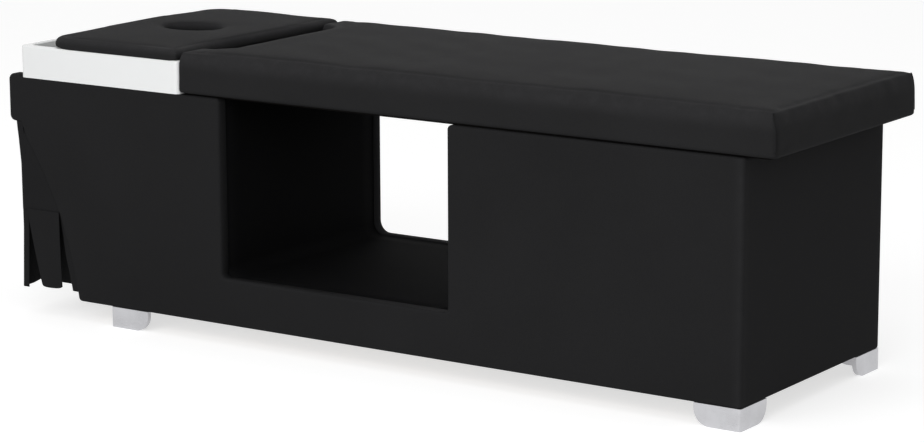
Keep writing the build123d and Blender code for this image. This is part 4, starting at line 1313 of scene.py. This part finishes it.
@dataclass
class Curtain:
    """The curtain round the plumbing bay: a gathered end, and a gore, a slit flap and a tuck on each side."""

    top: float = 0.442
    seam: float = 0.24
    hem: float = 0.062
    flap_hem: float = 0.0675
    half_width: float = 0.3
    out_x: float = -0.96
    in_x: float = -0.951
    hem_x: float = -0.9565
    corner_round: float = 0.007
    side_return: float = 0.013
    folds: float = 7.0
    fold_depth: float = 0.006
    cloth: float = 0.0014
    gore_inset: float = 0.0009
    gore_crease: float = 0.0032
    gore_head_dip: float = 0.0022
    gore_knee_dip: float = 0.0028
    flap_top: tuple[float, float] = (-0.9335, -0.8385)
    flap_low: tuple[float, float] = (-0.8975, -0.8385)
    flap_belly: float = 0.0032
    flap_curl: float = 0.004
    tuck_strip: float = 0.018
    tuck_spread: float = 0.011
    tuck_run: float = 0.02
    tuck_run_growth: float = 0.06
    tuck_depth: float = 0.014
    tuck_depth_growth: float = 0.04
    knee: BaseWrap = field(default_factory=BaseWrap)

    def sheet(self, name: str, points: np.ndarray, node: str | None = None) -> None:
        """Makes a grid of points a sheet of cloth, thickened to both sides of its middle.

        Args:
            name: the piece's name.
            points: a grid of points, rows from top to bottom.
            node: the CAD node that it stands for.
        """
        rows, columns = points.shape[:2]
        piece = new_piece(name, points.reshape(-1, 3), grid_faces(rows, columns), CURTAIN_LEATHERETTE,
                          outward=False)
        thicken(piece, self.cloth, 0.0)
        if node is not None:
            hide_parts(node)

    def side_sheet(self, part: str, side: Side, grid: tuple[np.ndarray, ...],
                   node: str | None = None) -> None:
        """Makes a grid on one side a sheet, turned to its side.

        Args:
            part: which part of the side it is.
            side: which side it hangs on.
            grid: X, the distance from the bed's middle, and Z, which spread to one shape.
            node: the CAD node that it stands for.
        """
        x, y, z = np.broadcast_arrays(*grid)
        points = np.stack([x, side.value * y, z], axis=-1)
        self.sheet(f"curtain_{side.label}_{part}", points, node)

    @staticmethod
    def lattice(top: float, low: float, rows: int, columns: int) -> tuple[np.ndarray, ...]:
        """A sheet's heights down it, its shares of the way to the foot and its shares of the way down."""
        z = steps(top, low, rows)[:, None]
        return z, steps(0, 1, columns)[None, :], (top - z) / (top - low)

    def knee_x(self, z: np.ndarray) -> np.ndarray:
        """Where the knee's edge is at a height."""
        arc = self.knee.knee_arc(60)
        return np.interp(z, arc[::-1, 1], arc[::-1, 0])

    def edge_x(self, z: np.ndarray) -> np.ndarray:
        """Where the end sheet's face is at a height: in below the rail and out again to the hem."""
        return np.interp(z, [self.hem, 0.2, 0.346, self.top], [self.hem_x, -0.9505, self.in_x, self.out_x])

    def build_end(self) -> None:
        """The end sheet across the head, turned round both corners into short returns.

        In plan a row runs along the near return, round the corner's quarter circle, across the end,
        round the far corner and along the far return. The folds are sine waves across the bed whose
        depth grows with the square of the way down and fades towards the corners.
        """
        r, half = self.corner_round, self.half_width - 0.0016
        straight = half - r
        turn = r * math.pi / 2
        lengths = np.cumsum([0, self.side_return, turn, 2 * straight, turn, self.side_return])
        stretches = zip(lengths[:-1], lengths[1:], (4, 8, 220, 8, 4))
        t = np.append(np.concatenate([steps(a, b, n)[:-1] for a, b, n in stretches]), lengths[-1])
        mirrored = t > lengths[5] / 2
        along = np.where(mirrored, lengths[5] - t, t)
        angle = np.clip(along - lengths[1], 0, lengths[2] - lengths[1]) / r
        x = r + np.maximum(self.side_return - along, 0) - r * np.sin(angle)
        y = -half + r - r * np.cos(angle) + np.maximum(along - lengths[2], 0)
        y = np.where(mirrored, -y, y)
        z = steps(self.top, self.hem, 60)[:, None]
        drop = (self.top - z) / (self.top - self.hem)
        spread = smooth_share(half - np.abs(y), 0.0, 0.05)[None, :]
        phase = y[None, :] / half
        wave = np.sin(phase * math.pi * self.folds / 2 + 0.7 * np.sin(phase * 3.1) + 0.5 * drop)
        fold = (0.0008 + self.fold_depth * drop ** 2) * wave + 0.0012 * np.sin(phase * 17 + 4 * drop) * drop
        hem_dip = 0.002 * np.sin(phase * 9 + 1.0) * drop ** 3
        points = np.stack([self.edge_x(z) + x[None, :] + fold * spread, y[None, :] + 0 * z, z + hem_dip],
                          axis=-1)
        self.sheet("curtain_end_sheet", points, "curtain_end")

    def build_gore(self, side: Side) -> None:
        """A side's gore, taut from the end sheet's corner to the knee's edge.

        It lies a little behind the side's face, with one soft crease from its head corner down to the
        slit.

        Args:
            side: which side it hangs on.
        """
        z, share, drop = self.lattice(self.top, self.seam, 44, 34)
        head = self.edge_x(z) + 0.002
        knee = self.knee_x(z)
        x = head + (knee + 0.008 - head) * share
        crease = np.exp(-((share - 0.12 - 0.8 * drop) / 0.17) ** 2) * drop * (1 - 0.5 * share)
        y = self.half_width - self.gore_inset - self.gore_crease * crease
        y = y - self.gore_head_dip * (1 - smooth_share(share, 0.0, 0.06))
        y = y - self.gore_knee_dip * smooth_share(x - knee, -0.005, 0.002)
        self.side_sheet("gore", side, (x, y, z), f"curtain_{side.label}_side")

    def build_flap(self, side: Side) -> None:
        """A side's flap, hung from the gore's seam, which slants to the foot and swings out at its hem.

        Args:
            side: which side it hangs on.
        """
        z, share, drop = self.lattice(self.seam + 0.004, self.flap_hem, 54, 30)
        head = self.flap_top[0] + (self.flap_low[0] - self.flap_top[0]) * drop ** 1.05
        foot = self.flap_top[1] + (self.flap_low[1] - self.flap_top[1]) * drop ** 2.2
        x = head + (foot - head) * share
        belly = np.sin(np.pi * share) * (0.0012 + self.flap_belly * drop)
        curl = self.flap_curl * drop ** 2 * (share - 0.45) ** 2 * 4
        y = self.half_width + 0.0003 + belly - curl
        rounded = 0.004 * np.clip(np.abs(share - 0.5) * 2, 0, 1) ** 8 * drop ** 6
        self.side_sheet("flap", side, (x, y, z + rounded))

    def build_tuck(self, side: Side) -> None:
        """The slit's foot edge: a strip beside the knee that widens downwards and folds in behind the flap.

        Along a row the depth behind the side's face rises from the strip's to the fold's in a smooth
        step, while X runs on towards the head.

        Args:
            side: which side it hangs on.
        """
        z, share, _ = self.lattice(self.seam + 0.002, self.hem + 0.003, 44, 30)
        drop = np.clip((self.seam - z) / (self.seam - self.hem), 0, 1)
        strip = self.tuck_strip + self.tuck_spread * smooth_share(drop, 0.0, 0.6)
        run = self.tuck_run + self.tuck_run_growth * drop
        along = np.minimum(share / 0.4, 1) * strip + np.clip(share - 0.56, 0, None) / 0.44 * run
        fold = self.tuck_depth + self.tuck_depth_growth * drop
        depth = 0.0065 + 0.002 * share + fold * smooth_share(share, 0.37, 0.6)
        x = self.knee_x(z) + 0.006 - along
        y = self.half_width - depth - 0.0012 * np.sin(6 * drop + 3 * share)
        self.side_sheet("tuck", side, (x, y, z))

    def build(self) -> None:
        """Builds the curtain and dresses its tack strip."""
        self.build_end()
        for side in Side:
            self.build_gore(side)
            self.build_flap(side)
            self.build_tuck(side)
        dress(PINE_ACROSS, "tack_strip")
        log.info("curtain built")


class Carcass:
    """The boards, battens and fixings inside the base, which keep their CAD shapes."""

    def build(self) -> None:
        """Dresses the carcass."""
        dress(PLYWOOD, "near_side_board", "far_side_board", "niche_floor")
        dress(PLYWOOD_ACROSS, "foot_end_board", "niche_foot_wall")
        dress(PINE_ALONG, "near_bottom_batten", "far_bottom_batten", "near_basin_cleat", "far_basin_cleat")
        dress(PINE_ACROSS, "knee_batten", "foot_bay_rail")
        # These boards are near black: painted shade for the recesses where they show.
        dress(SHADE_DARK_PLYWOOD, "basin_rail", "head_rail_board", "niche_head_wall")
        dress(PINE_UPRIGHT, "near_foot_post", "far_foot_post")
        dress(ZINC, "rail_brackets", "carcass_screws", "leg_screws")


class Legs:
    """The polished corner legs and the black plates behind them."""

    def build(self) -> None:
        """Dresses the legs."""
        dress(LEG_STEEL, "near_head_leg", "far_head_leg", "near_end_leg", "far_end_leg")
        dress(BLACK_STEEL, "leg_plates")


class Basin:
    """The basin, its neck rest and its waste."""

    def build(self) -> None:
        """Dresses the basin and what hangs under it."""
        dress(GLAZE, "basin")
        dress(RUBBER, "neck_rest", "waste_washer")
        dress(CHROME, "waste_flange", "tail_pipe")
        dress(STRAINER_STEEL, "hair_strainer")
        dress(BRASS, "waste_backnut")
        dress(PLASTIC, "bottle_trap", "slip_nuts", "waste_outlet")


class MixerTap:
    """The low mixer tap on the basin's shelf."""

    def build(self) -> None:
        """Dresses the tap."""
        dress(CHROME, "mixer_body", "mixer_spout", "aerator", "mixer_turret", "mixer_lever")
        dress(STRAINER_STEEL, "lever_pin")
        dress(BRASS, "stud_nut")
        dress(COPPER, "water_inlets")


@dataclass
class Studio:
    """Floor, soft light and the camera at the photograph's angle."""

    place: Triple = (3.6792, -5.3443, 1.609)
    yaw: float = 0.596
    pitch: float = 0.204
    roll: float = -0.004
    focal_pixels: float = 3042.06
    frame_width: float = 924.0
    floor_reach: float = 30.0
    ambient: float = 0.46

    def camera(self) -> None:
        """Places the camera: yaw about the upright, then pitch down, then roll about the view."""
        data = bpy.data.cameras.new("camera")
        data.sensor_width = 36.0
        data.sensor_fit = "HORIZONTAL"
        data.lens = self.focal_pixels / self.frame_width * data.sensor_width
        level = math.cos(self.pitch)
        ahead = np.array([-math.sin(self.yaw) * level, math.cos(self.yaw) * level, -math.sin(self.pitch)])
        right = np.array([math.cos(self.yaw), math.sin(self.yaw), 0.0])
        up = np.cross(right, ahead)
        rolled_right = math.cos(self.roll) * right + math.sin(self.roll) * up
        rolled_up = -math.sin(self.roll) * right + math.cos(self.roll) * up
        seat = np.eye(4)
        seat[:3, 0], seat[:3, 1], seat[:3, 2], seat[:3, 3] = rolled_right, rolled_up, -ahead, self.place
        camera = placed("camera", data)
        camera.matrix_world = Matrix(seat.tolist())
        bpy.context.scene.camera = camera

    def floor(self) -> None:
        """A wide pale floor."""
        reach = self.floor_reach
        mesh = bpy.data.meshes.new("floor")
        mesh.from_pydata([(-reach, -reach, 0), (reach, -reach, 0), (reach, reach, 0), (-reach, reach, 0)],
                         [], [(0, 1, 2, 3)])
        mesh.materials.append(PALE_FLOOR.material())
        placed("floor", mesh)

    def lamp(self, name: str, place: Triple, target: Triple, size: float, watts: float) -> None:
        """A square soft lamp that faces a point.

        Args:
            name: the lamp's name.
            place: where it stands.
            target: what it faces.
            size: the length of its sides.
            watts: its power.
        """
        data = bpy.data.lights.new(name, "AREA")
        data.size = size
        data.energy = watts
        lamp = placed(name, data)
        lamp.location = place
        lamp.rotation_euler = (Vector(target) - Vector(place)).to_track_quat("-Z", "Y").to_euler()

    def world(self) -> None:
        """A world that lights softly and shows white to the camera and in reflections."""
        world = bpy.data.worlds.new("studio")
        bpy.context.scene.world = world
        world.use_nodes = True
        tree = world.node_tree
        background = tree.nodes["Background"]
        background.inputs["Color"].default_value = (1.0, 1.0, 1.0, 1.0)
        path = tree.nodes.new("ShaderNodeLightPath")
        seen = path.outputs["Is Camera Ray"]
        for ray in ("Is Transmission Ray", "Is Glossy Ray"):
            either = tree.nodes.new("ShaderNodeMath")
            either.operation = "MAXIMUM"
            tree.links.new(seen, either.inputs[0])
            tree.links.new(path.outputs[ray], either.inputs[1])
            seen = either.outputs[0]
        strength = tree.nodes.new("ShaderNodeMapRange")
        strength.inputs["To Min"].default_value = self.ambient
        strength.inputs["To Max"].default_value = 1.0
        tree.links.new(seen, strength.inputs["Value"])
        tree.links.new(strength.outputs["Result"], background.inputs["Strength"])

    def build(self) -> None:
        """Builds the studio."""
        bpy.context.scene.view_settings.view_transform = "Standard"
        self.camera()
        self.floor()
        self.world()
        self.lamp("overhead", place=(0.2, -0.4, 3.4), target=(0.1, 0.0, 0.5), size=3.2, watts=12.0)
        self.lamp("near_fill", place=(0.6, -4.4, 1.9), target=(0.1, 0.0, 0.35), size=4.2, watts=132.0)
        log.info("studio built")


def main() -> None:
    """Builds the bed and its studio in order."""
    logging.basicConfig(level=logging.INFO, format="%(name)s: %(message)s")
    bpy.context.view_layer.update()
    for part in (Carcass(), Legs(), Basin(), MixerTap(), BaseWrap(), Curtain(), Mattress(), HeadPad(),
                 Studio()):
        part.build()
        log.info("%s done", type(part).__name__)


if __name__ == "__main__":
    main()
